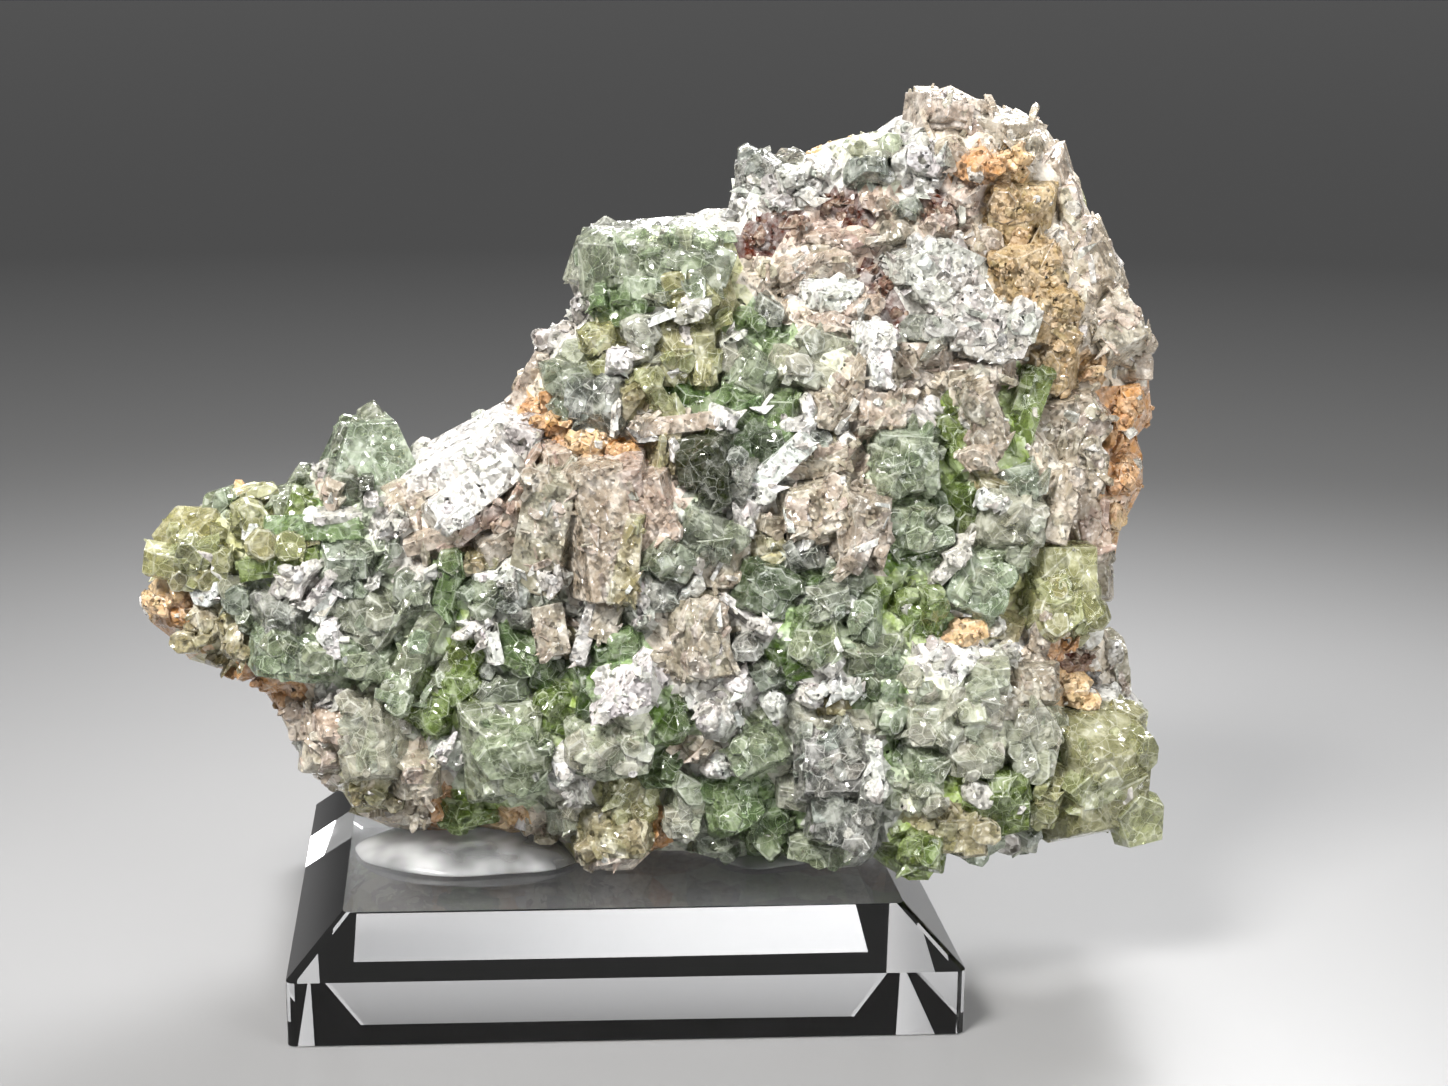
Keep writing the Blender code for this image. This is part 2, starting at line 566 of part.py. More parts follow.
def tidy(thing):
    """Keep the largest closed body and weld slivers away."""
    form = bmesh.new()
    form.from_mesh(thing.data)
    bmesh.ops.triangulate(form, faces=form.faces)
    form.normal_update()
    weld_short(form, MERGE)
    left = set(form.verts)
    bodies = []
    while left:
        body = set()
        queue = [left.pop()]
        while queue:
            vert = queue.pop()
            body.add(vert)
            for edge in vert.link_edges:
                other = edge.other_vert(vert)
                if other in left:
                    left.remove(other)
                    queue.append(other)
        bodies.append(body)
    bodies.sort(key=len)
    for body in bodies[:-1]:
        bmesh.ops.delete(form, geom=list(body), context="VERTS")
    form.to_mesh(thing.data)
    form.free()


def material(name, colour, roughness, clear=0.0):
    """Plain surface for a piece."""
    made = bpy.data.materials.new(name)
    made.use_nodes = True
    shader = made.node_tree.nodes["Principled BSDF"]
    shader.inputs["Base Color"].default_value = (*colour, 1.0)
    shader.inputs["Roughness"].default_value = roughness
    shader.inputs["Transmission Weight"].default_value = clear
    return made


def base_mesh():
    """Acrylic block with rounded corners and a sloping rim round its top."""
    form = bmesh.new()
    bmesh.ops.create_cube(form, size=1.0)
    bmesh.ops.translate(form, verts=form.verts, vec=(0.0, 0.0, 0.5))
    bmesh.ops.scale(form, verts=form.verts, vec=Vector((BASE_WIDTH, BASE_DEPTH, BASE_SIDE)) * MM)
    uprights = [e for e in form.edges if abs(e.verts[0].co.z - e.verts[1].co.z) > MM]
    bmesh.ops.bevel(form, geom=uprights, offset=BASE_CORNER * MM, segments=BASE_CORNER_STEPS,
                    affect="EDGES", profile=0.5)
    top = max(form.faces, key=lambda face: face.calc_center_median().z)
    raised = bmesh.ops.extrude_face_region(form, geom=[top])
    form.faces.remove(top)
    rim = [item for item in raised["geom"] if isinstance(item, bmesh.types.BMVert)]
    narrow = (1.0 - 2.0 * BASE_BEVEL / BASE_WIDTH, 1.0 - 2.0 * BASE_BEVEL / BASE_DEPTH, 1.0)
    bmesh.ops.scale(form, verts=rim, vec=narrow)
    bmesh.ops.translate(form, verts=rim, vec=(0.0, 0.0, (BASE_TOP - BASE_SIDE) * MM))
    bmesh.ops.recalc_face_normals(form, faces=form.faces)
    mesh = bpy.data.meshes.new("base")
    form.to_mesh(mesh)
    form.free()
    return mesh


def pad_mesh(name, across, back, wide, deep, high):
    """Flattened drop of gel standing on the base."""
    form = bmesh.new()
    bmesh.ops.create_uvsphere(form, u_segments=PAD_SIDES, v_segments=PAD_RINGS, radius=1.0)
    bmesh.ops.scale(form, verts=form.verts, vec=Vector((wide / 2, deep / 2, high)) * MM)
    everything = list(form.verts) + list(form.edges) + list(form.faces)
    cut_rim = bmesh.ops.bisect_plane(form, geom=everything, plane_co=(0.0, 0.0, 0.0),
                                     plane_no=(0.0, 0.0, 1.0), clear_inner=True)["geom_cut"]
    bmesh.ops.contextual_create(form, geom=[item for item in cut_rim if isinstance(item, bmesh.types.BMEdge)])
    bmesh.ops.translate(form, verts=form.verts, vec=Vector((across, back, FOOT)) * MM)
    bmesh.ops.recalc_face_normals(form, faces=form.faces)
    mesh = bpy.data.meshes.new(name)
    form.to_mesh(mesh)
    form.free()
    return mesh


def build_specimen(parts, cutters):
    """Rock with every crystal grown on it, cut flat where it stands."""
    rock = new_object("specimen", rock_mesh(), material("crystal", (0.62, 0.66, 0.5), 0.3), parts)
    group = bpy.data.collections.new("crystals")
    cutters.children.link(group)
    solids = [(row[0], crystal_points(*row[:7])) for row in CRYSTALS]
    for number, (kind, points) in enumerate(solids + back_crystals()):
        name = f"{kind}_{number}"
        grown = new_object(name, hull_mesh(name, points), rock.data.materials[0], group)
        grown.hide_render = True
        grown.display_type = "WIRE"
    join_all(rock, group)
    low = (-120.0, -120.0, -60.0)
    floor = new_object("under", box_mesh("under", low, (120.0, 120.0, FOOT)), rock.data.materials[0], cutters)
    cut(rock, floor, "DIFFERENCE", "MANIFOLD")
    tidy(rock)
    return rock


def build_pads(parts, cutters, rock):
    """Gel pads, each cut clear of the specimen."""
    gel = material("gel", (0.9, 0.92, 0.94), 0.05, 0.9)
    for name, across, back, wide, deep, high in PADS:
        pad = new_object(name, pad_mesh(name, across, back, wide, deep, high), gel, parts)
        for number, shift in enumerate(PAD_SHIFTS):
            copy = new_object(f"{name}_{number}", rock.data.copy(), rock.data.materials[0], cutters)
            copy.data.transform(Matrix.Translation(Vector(shift) * MM))
            cut(pad, copy, "DIFFERENCE", "MANIFOLD")
        tidy(pad)


def main():
    """Build every piece."""
    for thing in list(bpy.data.objects):
        bpy.data.objects.remove(thing, do_unlink=True)
    parts = bpy.data.collections.new("apophyllite_with_stilbite")
    cutters = bpy.data.collections.new("cutters")
    bpy.context.scene.collection.children.link(parts)
    bpy.context.scene.collection.children.link(cutters)
    new_object("acrylic_base", base_mesh(), material("acrylic", (0.95, 0.97, 1.0), 0.02, 1.0), parts)
    rock = build_specimen(parts, cutters)
    build_pads(parts, cutters, rock)
    for thing in cutters.all_objects:
        thing.hide_render = True
        thing.display_type = "WIRE"


main()
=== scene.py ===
"""Looks of the apophyllite with stilbite: crystal mass, gel pads and acrylic base in studio light."""
import math
import random

import bmesh
import bpy
import numpy as np
from mathutils import Matrix, Vector, noise
from mathutils.bvhtree import BVHTree
from mathutils.geometry import delaunay_2d_cdt

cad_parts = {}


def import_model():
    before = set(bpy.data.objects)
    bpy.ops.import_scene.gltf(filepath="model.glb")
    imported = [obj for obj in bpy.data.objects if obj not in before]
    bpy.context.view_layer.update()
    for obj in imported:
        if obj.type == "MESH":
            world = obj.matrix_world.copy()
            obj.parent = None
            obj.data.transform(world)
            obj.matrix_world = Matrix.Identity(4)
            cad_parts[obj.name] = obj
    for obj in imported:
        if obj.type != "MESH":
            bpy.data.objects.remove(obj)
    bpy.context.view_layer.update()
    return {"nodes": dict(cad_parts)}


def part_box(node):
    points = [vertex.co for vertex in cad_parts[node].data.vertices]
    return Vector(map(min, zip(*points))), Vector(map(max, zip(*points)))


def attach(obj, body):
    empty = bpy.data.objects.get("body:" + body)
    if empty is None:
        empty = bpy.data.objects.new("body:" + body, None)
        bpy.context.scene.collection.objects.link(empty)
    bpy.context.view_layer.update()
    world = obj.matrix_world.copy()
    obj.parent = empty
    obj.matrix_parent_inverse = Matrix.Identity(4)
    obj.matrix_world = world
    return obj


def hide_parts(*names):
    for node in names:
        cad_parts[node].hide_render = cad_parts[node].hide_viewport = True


# Lengths in the lists are millimetres; the scene is in metres
MM = 0.001

# Height at which the specimen starts above the floor
FOOT = 16.1

# Eye point that the across and up positions are read from, on the plane y = 0
EYE = (-21.0, -346.0, 136.0)

# Camera
CAMERA_PITCH = 12.5
CAMERA_YAW = 2.7
CAMERA_SENSOR = 36.0
CAMERA_LENS = 62.15
CAMERA_SHIFT = 0.10

# Spread of the softboxes in degrees
SPREAD_ANGLE = 80.0

# Spacing of the rock's surface points, front and back, and the width of its rounded edge
FRONT_STEP = 1.5
BACK_STEP = 1.7
ROUNDING = 13.0

# Edge of the rock as (across, up)
OUTLINE = [
    (-66.0, 51.5), (-64.3, 54.5), (-64.4, 57.0), (-63.8, 60.0), (-61.5, 63.0), (-57.5, 64.8),
    (-53.6, 66.6), (-50.4, 67.4), (-46.0, 66.2), (-43.6, 67.6), (-40.6, 69.6), (-38.5, 70.5),
    (-33.0, 71.0), (-29.0, 69.8), (-25.0, 71.0), (-20.0, 73.6), (-14.6, 77.0), (-13.2, 79.4),
    (-12.0, 82.0), (-9.8, 86.2), (-8.4, 89.2), (-5.4, 90.0), (-5.0, 93.4), (-4.4, 96.4),
    (-4.0, 99.0), (-2.2, 101.4), (0.5, 102.6), (5.0, 103.2), (10.0, 103.8), (13.0, 105.2),
    (16.6, 106.0), (17.2, 109.0), (17.8, 112.4), (22.0, 112.6), (26.5, 112.8), (30.5, 113.6),
    (33.0, 115.6), (36.5, 116.2), (39.6, 117.6), (42.2, 119.6), (43.4, 121.6), (46.0, 121.4),
    (50.0, 119.8), (54.0, 118.9), (58.4, 117.2), (60.2, 115.0), (61.8, 111.8), (63.8, 109.8),
    (65.0, 107.0), (66.4, 104.0), (69.0, 100.6), (70.2, 97.0), (70.8, 94.4), (72.4, 91.6),
    (74.4, 89.4), (74.8, 86.6), (74.4, 84.0), (75.2, 80.4), (75.2, 77.0), (73.6, 74.0),
    (74.2, 71.0), (74.6, 67.0), (73.0, 63.6), (72.2, 60.4), (71.6, 57.0), (71.0, 53.0),
    (69.8, 50.0), (69.2, 46.0), (71.8, 44.2), (73.8, 41.0), (74.0, 37.6), (75.4, 35.0),
    (77.0, 31.5), (77.2, 25.0), (76.0, 18.5), (74.0, 15.8), (68.4, 16.2), (63.4, 16.4),
    (61.0, 13.4), (57.0, 12.9), (53.0, 12.0), (49.4, 11.8), (46.2, 9.6), (44.2, 9.6),
    (41.0, 11.4), (38.4, 13.0), (36.0, 11.2), (33.6, 10.4), (30.0, 11.4), (25.0, 12.4),
    (20.0, 13.0), (15.5, 12.4), (11.0, 14.2), (6.0, 13.2), (2.5, 11.4), (-0.5, 10.6),
    (-4.0, 12.6), (-8.0, 15.4), (-13.0, 16.4), (-20.0, 16.8), (-27.0, 16.8), (-32.0, 18.2),
    (-36.4, 20.4), (-38.6, 23.0), (-42.4, 25.4), (-44.0, 28.4), (-45.6, 32.0), (-46.4, 35.4),
    (-48.6, 38.2), (-52.0, 40.6), (-56.0, 42.6), (-59.4, 44.0), (-61.4, 46.4), (-64.2, 49.0),
]

# How far back the edge stands at (across, up); minus is nearer the front
EDGE_AT = [
    (-66, 51, -2), (-60, 64, -2), (-46, 36, -4), (-38, 22, -5), (-20, 16, -3), (-9, 15, -7),
    (0, 10.5, -16), (11, 14, -12), (20, 13, -12), (34, 10, -17), (46, 9, -23), (60, 13, -16),
    (74, 25, -8), (72, 42, -3), (72, 60, 0), (75, 85, 4), (66, 104, 6), (45, 120, 8),
    (25, 112, 8), (2, 103, 3), (-9, 88, 1), (-22, 73, -3), (-34, 71, -2),
]

# Bulk of the rock at (across, up): how far it swells to the front and to the back
SWELL_AT = [
    (-58, 54, 8, 10), (-44, 50, 11, 14), (-34, 32, 9, 16), (-20, 60, 13, 17), (-14, 30, 11, 24),
    (5, 92, 11, 14), (4, 62, 16, 20), (4, 38, 13, 26), (4, 20, 5, 34), (26, 104, 8, 13),
    (28, 76, 14, 19), (28, 50, 14, 26), (28, 24, 9, 34), (48, 108, 9, 12), (54, 88, 11, 15),
    (54, 62, 13, 20), (54, 36, 13, 22), (54, 18, 8, 22), (68, 74, 7, 13), (70, 26, 9, 16),
]

# How deep the crystals are set in, as a share of their depth, and how far they spread
SINK = 0.2
SPREAD = 1.12

# Seeded lumps and blocks on the back
BACK_SEED = 11
BACK_COUNT = 26
BACK_APART = 12.5


# Tones: red, green and blue as seen in daylight (0 to 255), clearness, finish
TONES = {
    "mint": (188, 202, 166, 0.80, "apophyllite"),
    "lime": (204, 204, 146, 0.72, "apophyllite"),
    "olive": (150, 174, 84, 0.82, "apophyllite"),
    # Deep: the deeper green of thick crystal, partly painted shade of the recesses it is set in.
    "deep": (98, 130, 50, 0.82, "apophyllite"),
    "fern": (152, 180, 118, 0.80, "apophyllite"),
    "sage": (182, 192, 166, 0.84, "apophyllite"),
    "pine": (104, 126, 82, 0.84, "apophyllite"),
    "night": (66, 76, 34, 0.80, "apophyllite"),
    "moss": (192, 194, 140, 0.70, "apophyllite"),
    "pale": (214, 216, 192, 0.74, "apophyllite"),
    "smoke": (206, 210, 198, 0.92, "apophyllite"),
    "white": (240, 238, 232, 0.25, "frost"),
    "frost": (226, 222, 214, 0.50, "frost"),
    "cream": (222, 208, 188, 0.50, "stilbite"),
    "rose": (206, 182, 164, 0.40, "stilbite"),
    "beige": (196, 184, 164, 0.50, "stilbite"),
    "khaki": (186, 178, 132, 0.55, "stilbite"),
    "tan": (214, 178, 132, 0.12, "crust"),
    "amber": (198, 146, 92, 0.12, "crust"),
    "umber": (164, 138, 94, 0.14, "crust"),
    "brown": (84, 38, 22, 0.10, "crust"),
    "slate": (84, 84, 88, 0.05, "crust"),
}

# Small crystals by finish: how many a try, smallest and largest size, kinds, share of white ones,
# which are white frost and partly painted glints, how far they tip, and how much of their depth stands proud
GRAINS = {
    "apophyllite": (0.20, 1.2, 4.8, ("plate", "plate", "shard"), 0.06, 0.22, 0.16),
    "frost": (0.62, 0.9, 3.2, ("shard", "shard", "plate", "lump"), 0.35, 0.40, 0.28),
    "stilbite": (0.50, 0.9, 3.0, ("blade", "blade", "shard", "plate"), 0.10, 0.30, 0.26),
    "crust": (0.95, 0.7, 2.0, ("lump", "block", "lump"), 0.05, 0.50, 0.50),
}
GRAIN_SEED = 5
FRONT_TRIES = 9300
SIDE_TRIES = 9000
VARIANTS = 8

# Crystals on the front: kind, across, up, wide, tall, turn in degrees, how far out, tone
CRYSTALS = [
    # Left arm
    ("lump", -58.5, 59.5, 14.0, 11.0, 0, 0.0, "lime"),
    ("lump", -63.0, 57.0, 5.0, 8.0, 0, -1.0, "lime"),
    ("lump", -54.5, 65.6, 6.0, 4.0, 0, 0.0, "mint"),
    ("lump", -49.5, 65.2, 8.0, 6.0, 0, 0.0, "lime"),
    ("block", -46.3, 64.2, 3.5, 6.0, 10, 1.0, "mint"),
    ("block", -43.3, 64.0, 5.5, 6.0, -20, 0.0, "olive"),
    ("lump", -50.8, 62.3, 7.0, 6.0, 0, 1.0, "lime"),
    # Painted highlight: a white plate set where a small triangular glint shows.
    ("plate", -50.6, 61.0, 2.4, 2.8, -20, 3.2, "white"),
    ("blade", -42.0, 61.3, 4.2, 15.0, -88, 1.2, "fern"),
    ("blade", -38.6, 63.7, 1.4, 8.0, -86, 2.6, "frost"),
    ("blade", -46.5, 57.0, 3.4, 13.0, -78, 0.2, "olive"),
    ("blade", -46.0, 59.8, 2.8, 10.0, -80, 1.8, "lime"),
    ("block", -36.8, 58.3, 8.0, 5.0, 0, 0.8, "sage"),
    ("plate", -57.0, 53.3, 4.2, 5.2, -25, 2.4, "white"),
    ("plate", -53.8, 53.2, 4.6, 4.0, -40, 2.0, "pale"),
    ("lump", -62.4, 53.2, 6.0, 7.0, 20, 0.0, "tan"),
    ("lump", -65.2, 51.4, 3.0, 4.0, 0, 0.0, "tan"),
    ("lump", -60.4, 50.0, 6.0, 5.0, 0, 0.2, "amber"),
    ("lump", -56.8, 48.4, 9.0, 7.0, 10, 0.2, "khaki"),
    ("lump", -51.5, 50.5, 7.0, 6.0, 0, 0.6, "sage"),
    ("block", -46.8, 50.2, 8.0, 5.0, 0, 1.6, "smoke"),
    ("lump", -51.5, 45.4, 7.0, 7.0, 0, 0.2, "khaki"),
    ("block", -45.6, 44.6, 11.0, 8.0, -10, 0.6, "mint"),
    ("blade", -43.4, 54.6, 2.0, 6.5, -35, 2.6, "white"),
    ("blade", -41.4, 53.2, 1.6, 7.0, -38, 2.9, "frost"),
    ("block", -45.2, 54.2, 5.0, 6.0, -20, 0.6, "frost"),
    ("blade", -40.8, 50.8, 2.4, 6.0, -30, 3.2, "white"),
    ("blade", -40.0, 46.2, 2.6, 6.0, 5, 2.6, "white"),
    ("plate", -38.3, 56.5, 3.5, 2.0, 10, 2.4, "white"),
    ("block", -38.0, 53.5, 4.0, 5.0, -35, 1.6, "smoke"),
    ("blade", -35.2, 53.7, 1.2, 5.0, -65, 2.6, "white"),
    ("block", -33.8, 50.0, 10.0, 9.0, -35, 0.6, "sage"),
    ("block", -35.8, 43.6, 11.0, 7.0, -10, 0.4, "mint"),
    ("lump", -59.0, 44.8, 4.0, 2.6, 0, -0.4, "tan"),
    ("lump", -55.2, 43.4, 6.0, 3.2, 15, 0.2, "khaki"),
    ("lump", -52.0, 41.4, 5.0, 3.2, 25, 0.2, "amber"),
    ("lump", -48.6, 39.8, 5.0, 4.0, 0, 0.2, "amber"),
    ("point", -34.2, 69.4, 13.0, 14.2, 0, 0.6, "sage"),
    ("lump", -39.8, 70.2, 4.4, 3.8, 0, 1.8, "frost"),
    ("lump", -38.6, 67.2, 6.4, 5.0, 0, 1.8, "cream"),
    ("plate", -43.4, 67.8, 5.0, 5.0, -60, 0.4, "sage"),
    ("block", -34.9, 67.3, 1.4, 2.4, -10, 5.4, "night"),
    ("block", -34.0, 65.6, 1.8, 1.6, 0, 5.6, "white"),
    # White blade and the fan beside it
    ("blade", -21.2, 70.0, 8.0, 20.0, -60, 2.6, "white"),
    ("blade", -22.3, 72.0, 3.0, 18.0, -63, 1.6, "white"),
    ("blade", -19.6, 66.8, 6.0, 16.0, -55, 3.6, "white"),
    ("blade", -17.6, 74.4, 3.0, 11.0, -60, 1.2, "frost"),
    ("lump", -29.2, 66.0, 7.0, 7.0, 0, 1.6, "cream"),
    ("lump", -31.5, 62.3, 5.0, 5.0, 0, 1.2, "frost"),
    ("blade", -25.4, 60.8, 2.5, 9.0, -70, 1.6, "cream"),
    ("blade", -20.5, 62.3, 2.4, 12.0, -52, 2.4, "rose"),
    ("lump", -10.6, 78.4, 5.0, 4.0, 0, 0.6, "amber"),
    ("lump", -8.0, 75.8, 6.0, 4.0, 0, 1.2, "amber"),
    ("lump", -3.5, 73.6, 6.0, 4.0, 0, 1.8, "tan"),
    ("lump", 1.5, 72.2, 6.0, 3.6, 0, 1.8, "amber"),
    ("lump", -12.4, 79.8, 3.0, 3.4, 0, 0.2, "tan"),
    ("blade", -12.6, 72.0, 5.0, 11.0, -15, 1.2, "frost"),
    ("blade", -13.2, 66.0, 6.0, 12.0, -30, 2.2, "rose"),
    ("blade", -8.6, 69.0, 4.0, 9.0, 0, 1.8, "rose"),
    ("blade", -8.2, 62.0, 8.0, 19.0, -10, 2.8, "beige"),
    ("blade", -2.6, 61.0, 8.0, 21.0, 8, 3.4, "beige"),
    ("blade", 2.0, 66.0, 7.0, 12.0, 12, 3.0, "rose"),
    ("blade", 6.2, 64.4, 6.0, 11.0, 15, 3.2, "rose"),
    ("blade", 1.8, 57.0, 5.0, 14.0, -5, 2.6, "khaki"),
    ("blade", -15.0, 61.0, 4.0, 11.0, -60, 2.0, "beige"),
    ("block", -18.6, 57.8, 7.0, 4.0, 20, 0.8, "khaki"),
    ("lump", -14.6, 55.6, 8.0, 4.8, 20, 2.8, "white"),
    ("lump", -8.6, 54.4, 5.0, 4.0, 0, 3.4, "frost"),
    ("block", -18.3, 52.0, 4.5, 4.5, 30, 2.8, "sage"),
    ("lump", -14.0, 51.6, 5.0, 5.0, 0, 2.8, "smoke"),
    ("lump", -12.8, 48.4, 4.6, 3.6, 0, 3.0, "smoke"),
    ("lump", -9.2, 51.0, 4.0, 4.0, 0, 2.4, "sage"),
    ("blade", -19.0, 47.2, 1.6, 5.5, -55, 3.4, "white"),
    ("blade", -17.2, 44.3, 1.8, 5.5, 12, 3.6, "white"),
    ("lump", -18.6, 46.0, 3.0, 3.0, 0, 2.8, "frost"),
    ("lump", -17.8, 41.0, 3.0, 3.4, 0, 2.6, "smoke"),
    ("plate", -24.0, 47.8, 4.4, 2.2, -30, -0.4, "deep"),
    ("block", -23.0, 54.0, 5.0, 9.0, -15, 0.2, "fern"),
    ("lump", -26.8, 55.6, 6.0, 3.6, 0, 1.2, "frost"),
    ("block", -28.0, 52.2, 5.0, 5.0, 0, 1.0, "sage"),
    ("blade", -27.4, 43.8, 4.0, 19.0, -30, 1.8, "mint"),
    ("blade", -24.0, 41.6, 2.4, 14.0, -30, 2.0, "mint"),
    ("block", -20.8, 42.6, 7.0, 11.0, -30, -0.6, "olive"),
    ("block", -13.4, 44.4, 8.0, 6.0, -25, 0.4, "fern"),
    ("block", -6.3, 44.4, 3.4, 5.0, 0, -0.8, "khaki"),
    ("blade", -9.0, 46.4, 5.0, 8.0, 10, 2.4, "beige"),
    ("plate", -8.3, 43.0, 1.6, 1.8, 0, 3.6, "white"),
    ("blade", -3.6, 46.2, 2.6, 10.0, -18, 3.4, "frost"),
    ("blade", 0.2, 50.4, 4.0, 12.0, -15, 2.8, "beige"),
    ("lump", 0.2, 43.6, 7.0, 6.2, 0, 1.6, "fern"),
    ("block", -7.0, 40.3, 8.0, 3.6, 10, -1.2, "deep"),
    ("block", -8.0, 36.0, 7.0, 11.0, -5, -0.8, "olive"),
    ("block", -3.4, 36.6, 3.0, 6.0, -10, -0.4, "deep"),
    ("shard", 1.4, 38.2, 8.6, 9.6, 0, 3.2, "white"),
    ("plate", 3.3, 51.6, 4.2, 10.0, 8, 3.4, "frost"),
    ("block", 7.6, 57.0, 8.0, 6.0, -30, 1.6, "sage"),
    ("block", 6.4, 52.2, 6.0, 5.0, 0, 1.8, "smoke"),
    ("blade", 10.6, 52.3, 2.0, 6.0, -40, 2.8, "white"),
    # Upper left cluster
    ("block", 5.4, 98.6, 18.0, 9.0, 2, 1.2, "mint"),
    ("block", 4.6, 102.2, 13.0, 3.2, 3, 0.4, "smoke"),
    ("block", -2.6, 99.0, 4.0, 6.0, -20, 0.6, "pale"),
    ("lump", -3.4, 96.6, 3.6, 5.0, 0, 1.2, "frost"),
    ("lump", 12.0, 97.0, 10.0, 9.0, 0, 1.2, "lime"),
    ("lump", 14.6, 93.4, 7.0, 7.0, 0, 1.4, "lime"),
    ("lump", -0.6, 93.2, 5.5, 6.0, 0, 2.4, "fern"),
    ("lump", 2.6, 92.3, 5.0, 5.5, 0, 2.8, "fern"),
    ("lump", -4.0, 92.8, 4.0, 5.0, 0, 1.4, "frost"),
    ("lump", -7.6, 88.4, 5.0, 4.4, 0, 1.0, "frost"),
    ("lump", -5.0, 86.4, 6.0, 4.4, 0, 1.8, "pale"),
    ("lump", -1.0, 87.5, 8.0, 7.0, 0, 2.4, "lime"),
    ("block", 4.2, 88.0, 4.0, 7.0, 5, 2.8, "pale"),
    ("block", 7.4, 86.5, 5.0, 8.0, -8, 3.2, "lime"),
    ("block", 9.4, 86.8, 1.6, 6.0, -10, 4.2, "frost"),
    ("block", 12.0, 85.8, 4.6, 9.0, 5, 2.4, "lime"),
    ("block", 0.8, 85.2, 3.6, 3.6, 0, 4.4, "white"),
    ("blade", 6.4, 91.2, 1.3, 4.6, -70, 4.4, "white"),
    # Painted highlight: a frosty plate and a white plate set where a glint shows.
    ("plate", 11.0, 92.3, 5.0, 2.6, 25, 4.0, "frost"),
    ("plate", 12.6, 92.8, 2.0, 1.6, 30, 5.0, "white"),
    ("lump", 5.6, 94.4, 5.0, 3.2, 0, 2.6, "pale"),
    ("blade", 16.8, 88.3, 0.9, 3.8, -65, 4.2, "white"),
    ("block", 15.6, 86.0, 4.0, 5.0, -30, 3.0, "pale"),
    ("block", 17.5, 84.3, 4.5, 7.0, -35, 2.8, "mint"),
    ("block", 20.2, 82.5, 6.0, 6.0, -30, 2.4, "mint"),
    ("lump", 18.0, 91.0, 5.0, 4.4, 0, 1.2, "fern"),
    ("lump", 21.8, 91.8, 4.4, 3.8, 0, 2.2, "smoke"),
    ("lump", 23.6, 87.6, 8.0, 4.6, -10, 0.0, "fern"),
    ("plate", 29.6, 86.8, 8.0, 5.0, -15, 1.0, "pale"),
    ("block", 26.8, 83.6, 9.0, 4.6, -20, 1.6, "pale"),
    ("shard", 33.6, 82.6, 3.4, 6.0, 0, 2.6, "beige"),
    ("block", 36.7, 85.2, 4.4, 9.6, 0, 3.0, "white"),
    ("plate", 30.4, 78.4, 6.6, 5.2, 0, 2.2, "cream"),
    ("blade", 27.5, 78.3, 0.9, 4.0, 15, 3.6, "white"),
    ("blade", 32.9, 77.4, 0.9, 5.8, -32, 3.8, "white"),
    ("blade", 26.0, 76.3, 1.6, 5.0, 85, 3.0, "frost"),
    ("block", 37.0, 77.4, 7.4, 6.4, 0, 2.0, "cream"),
    ("lump", 37.4, 79.2, 2.0, 1.6, 0, 4.8, "frost"),
    ("lump", 33.0, 73.6, 2.8, 3.2, 0, 4.2, "white"),
    ("lump", 28.2, 74.2, 4.4, 4.4, 0, 2.6, "smoke"),
    ("block", 31.0, 73.4, 2.6, 2.6, 0, 2.2, "khaki"),
    ("block", 10.4, 80.4, 6.0, 4.0, -15, -0.6, "deep"),
    ("blade", 15.0, 79.4, 2.6, 9.0, -60, 1.0, "fern"),
    ("block", 19.0, 79.0, 8.0, 6.0, -10, -0.2, "fern"),
    ("block", 22.6, 77.6, 8.0, 7.0, 0, -0.4, "fern"),
    ("blade", 21.8, 79.2, 0.6, 2.8, -38, 3.2, "white"),
    ("block", -5.2, 82.3, 7.0, 4.6, 8, 1.6, "sage"),
    ("block", -1.6, 78.6, 7.0, 8.0, -5, 1.8, "smoke"),
    ("shard", 3.2, 80.3, 6.0, 6.6, 180, 2.6, "khaki"),
    ("lump", -9.0, 80.0, 4.0, 4.0, 0, 0.6, "khaki"),
    ("lump", -7.0, 78.8, 5.0, 5.0, 0, 1.0, "sage"),
    ("blade", 6.2, 79.8, 2.4, 9.0, 30, 3.8, "lime"),
    ("blade", 9.0, 76.0, 2.8, 13.0, -87, 2.8, "cream"),
    # Painted highlight: a white block set where a clear cube glints.
    ("block", 15.6, 76.9, 3.6, 3.0, -20, 4.4, "white"),
    ("blade", 0.4, 77.0, 0.7, 5.0, -3, 4.6, "white"),
    ("plate", 8.4, 72.8, 1.3, 3.0, 20, 4.2, "white"),
    ("block", 13.0, 70.4, 6.2, 7.6, 10, 3.4, "night"),
    ("block", 17.4, 73.4, 5.0, 4.2, 10, 0.8, "pine"),
    ("block", 21.7, 73.5, 4.8, 4.8, 0, 0.6, "pine"),
    ("block", 21.4, 68.6, 2.6, 2.8, 20, 2.6, "night"),
    ("blade", -10.8, 82.6, 3.4, 9.4, -28, 0.6, "cream"),
    ("block", 18.0, 68.2, 3.6, 5.0, -10, 2.2, "smoke"),
    ("lump", 4.4, 75.2, 5.0, 3.6, 0, 1.4, "beige"),
    ("blade", 6.6, 72.6, 3.4, 7.0, -10, 1.8, "khaki"),
    # Crest and the brown hollows under it
    ("plate", 19.8, 110.6, 6.6, 6.4, 15, 0.6, "smoke"),
    ("lump", 24.6, 113.0, 5.0, 3.4, 0, 0.0, "smoke"),
    ("lump", 23.4, 109.2, 7.0, 5.0, 0, 1.2, "frost"),
    ("lump", 28.6, 111.4, 6.0, 4.6, 0, 1.2, "white"),
    ("lump", 14.2, 104.9, 7.0, 2.8, 0, 0.6, "frost"),
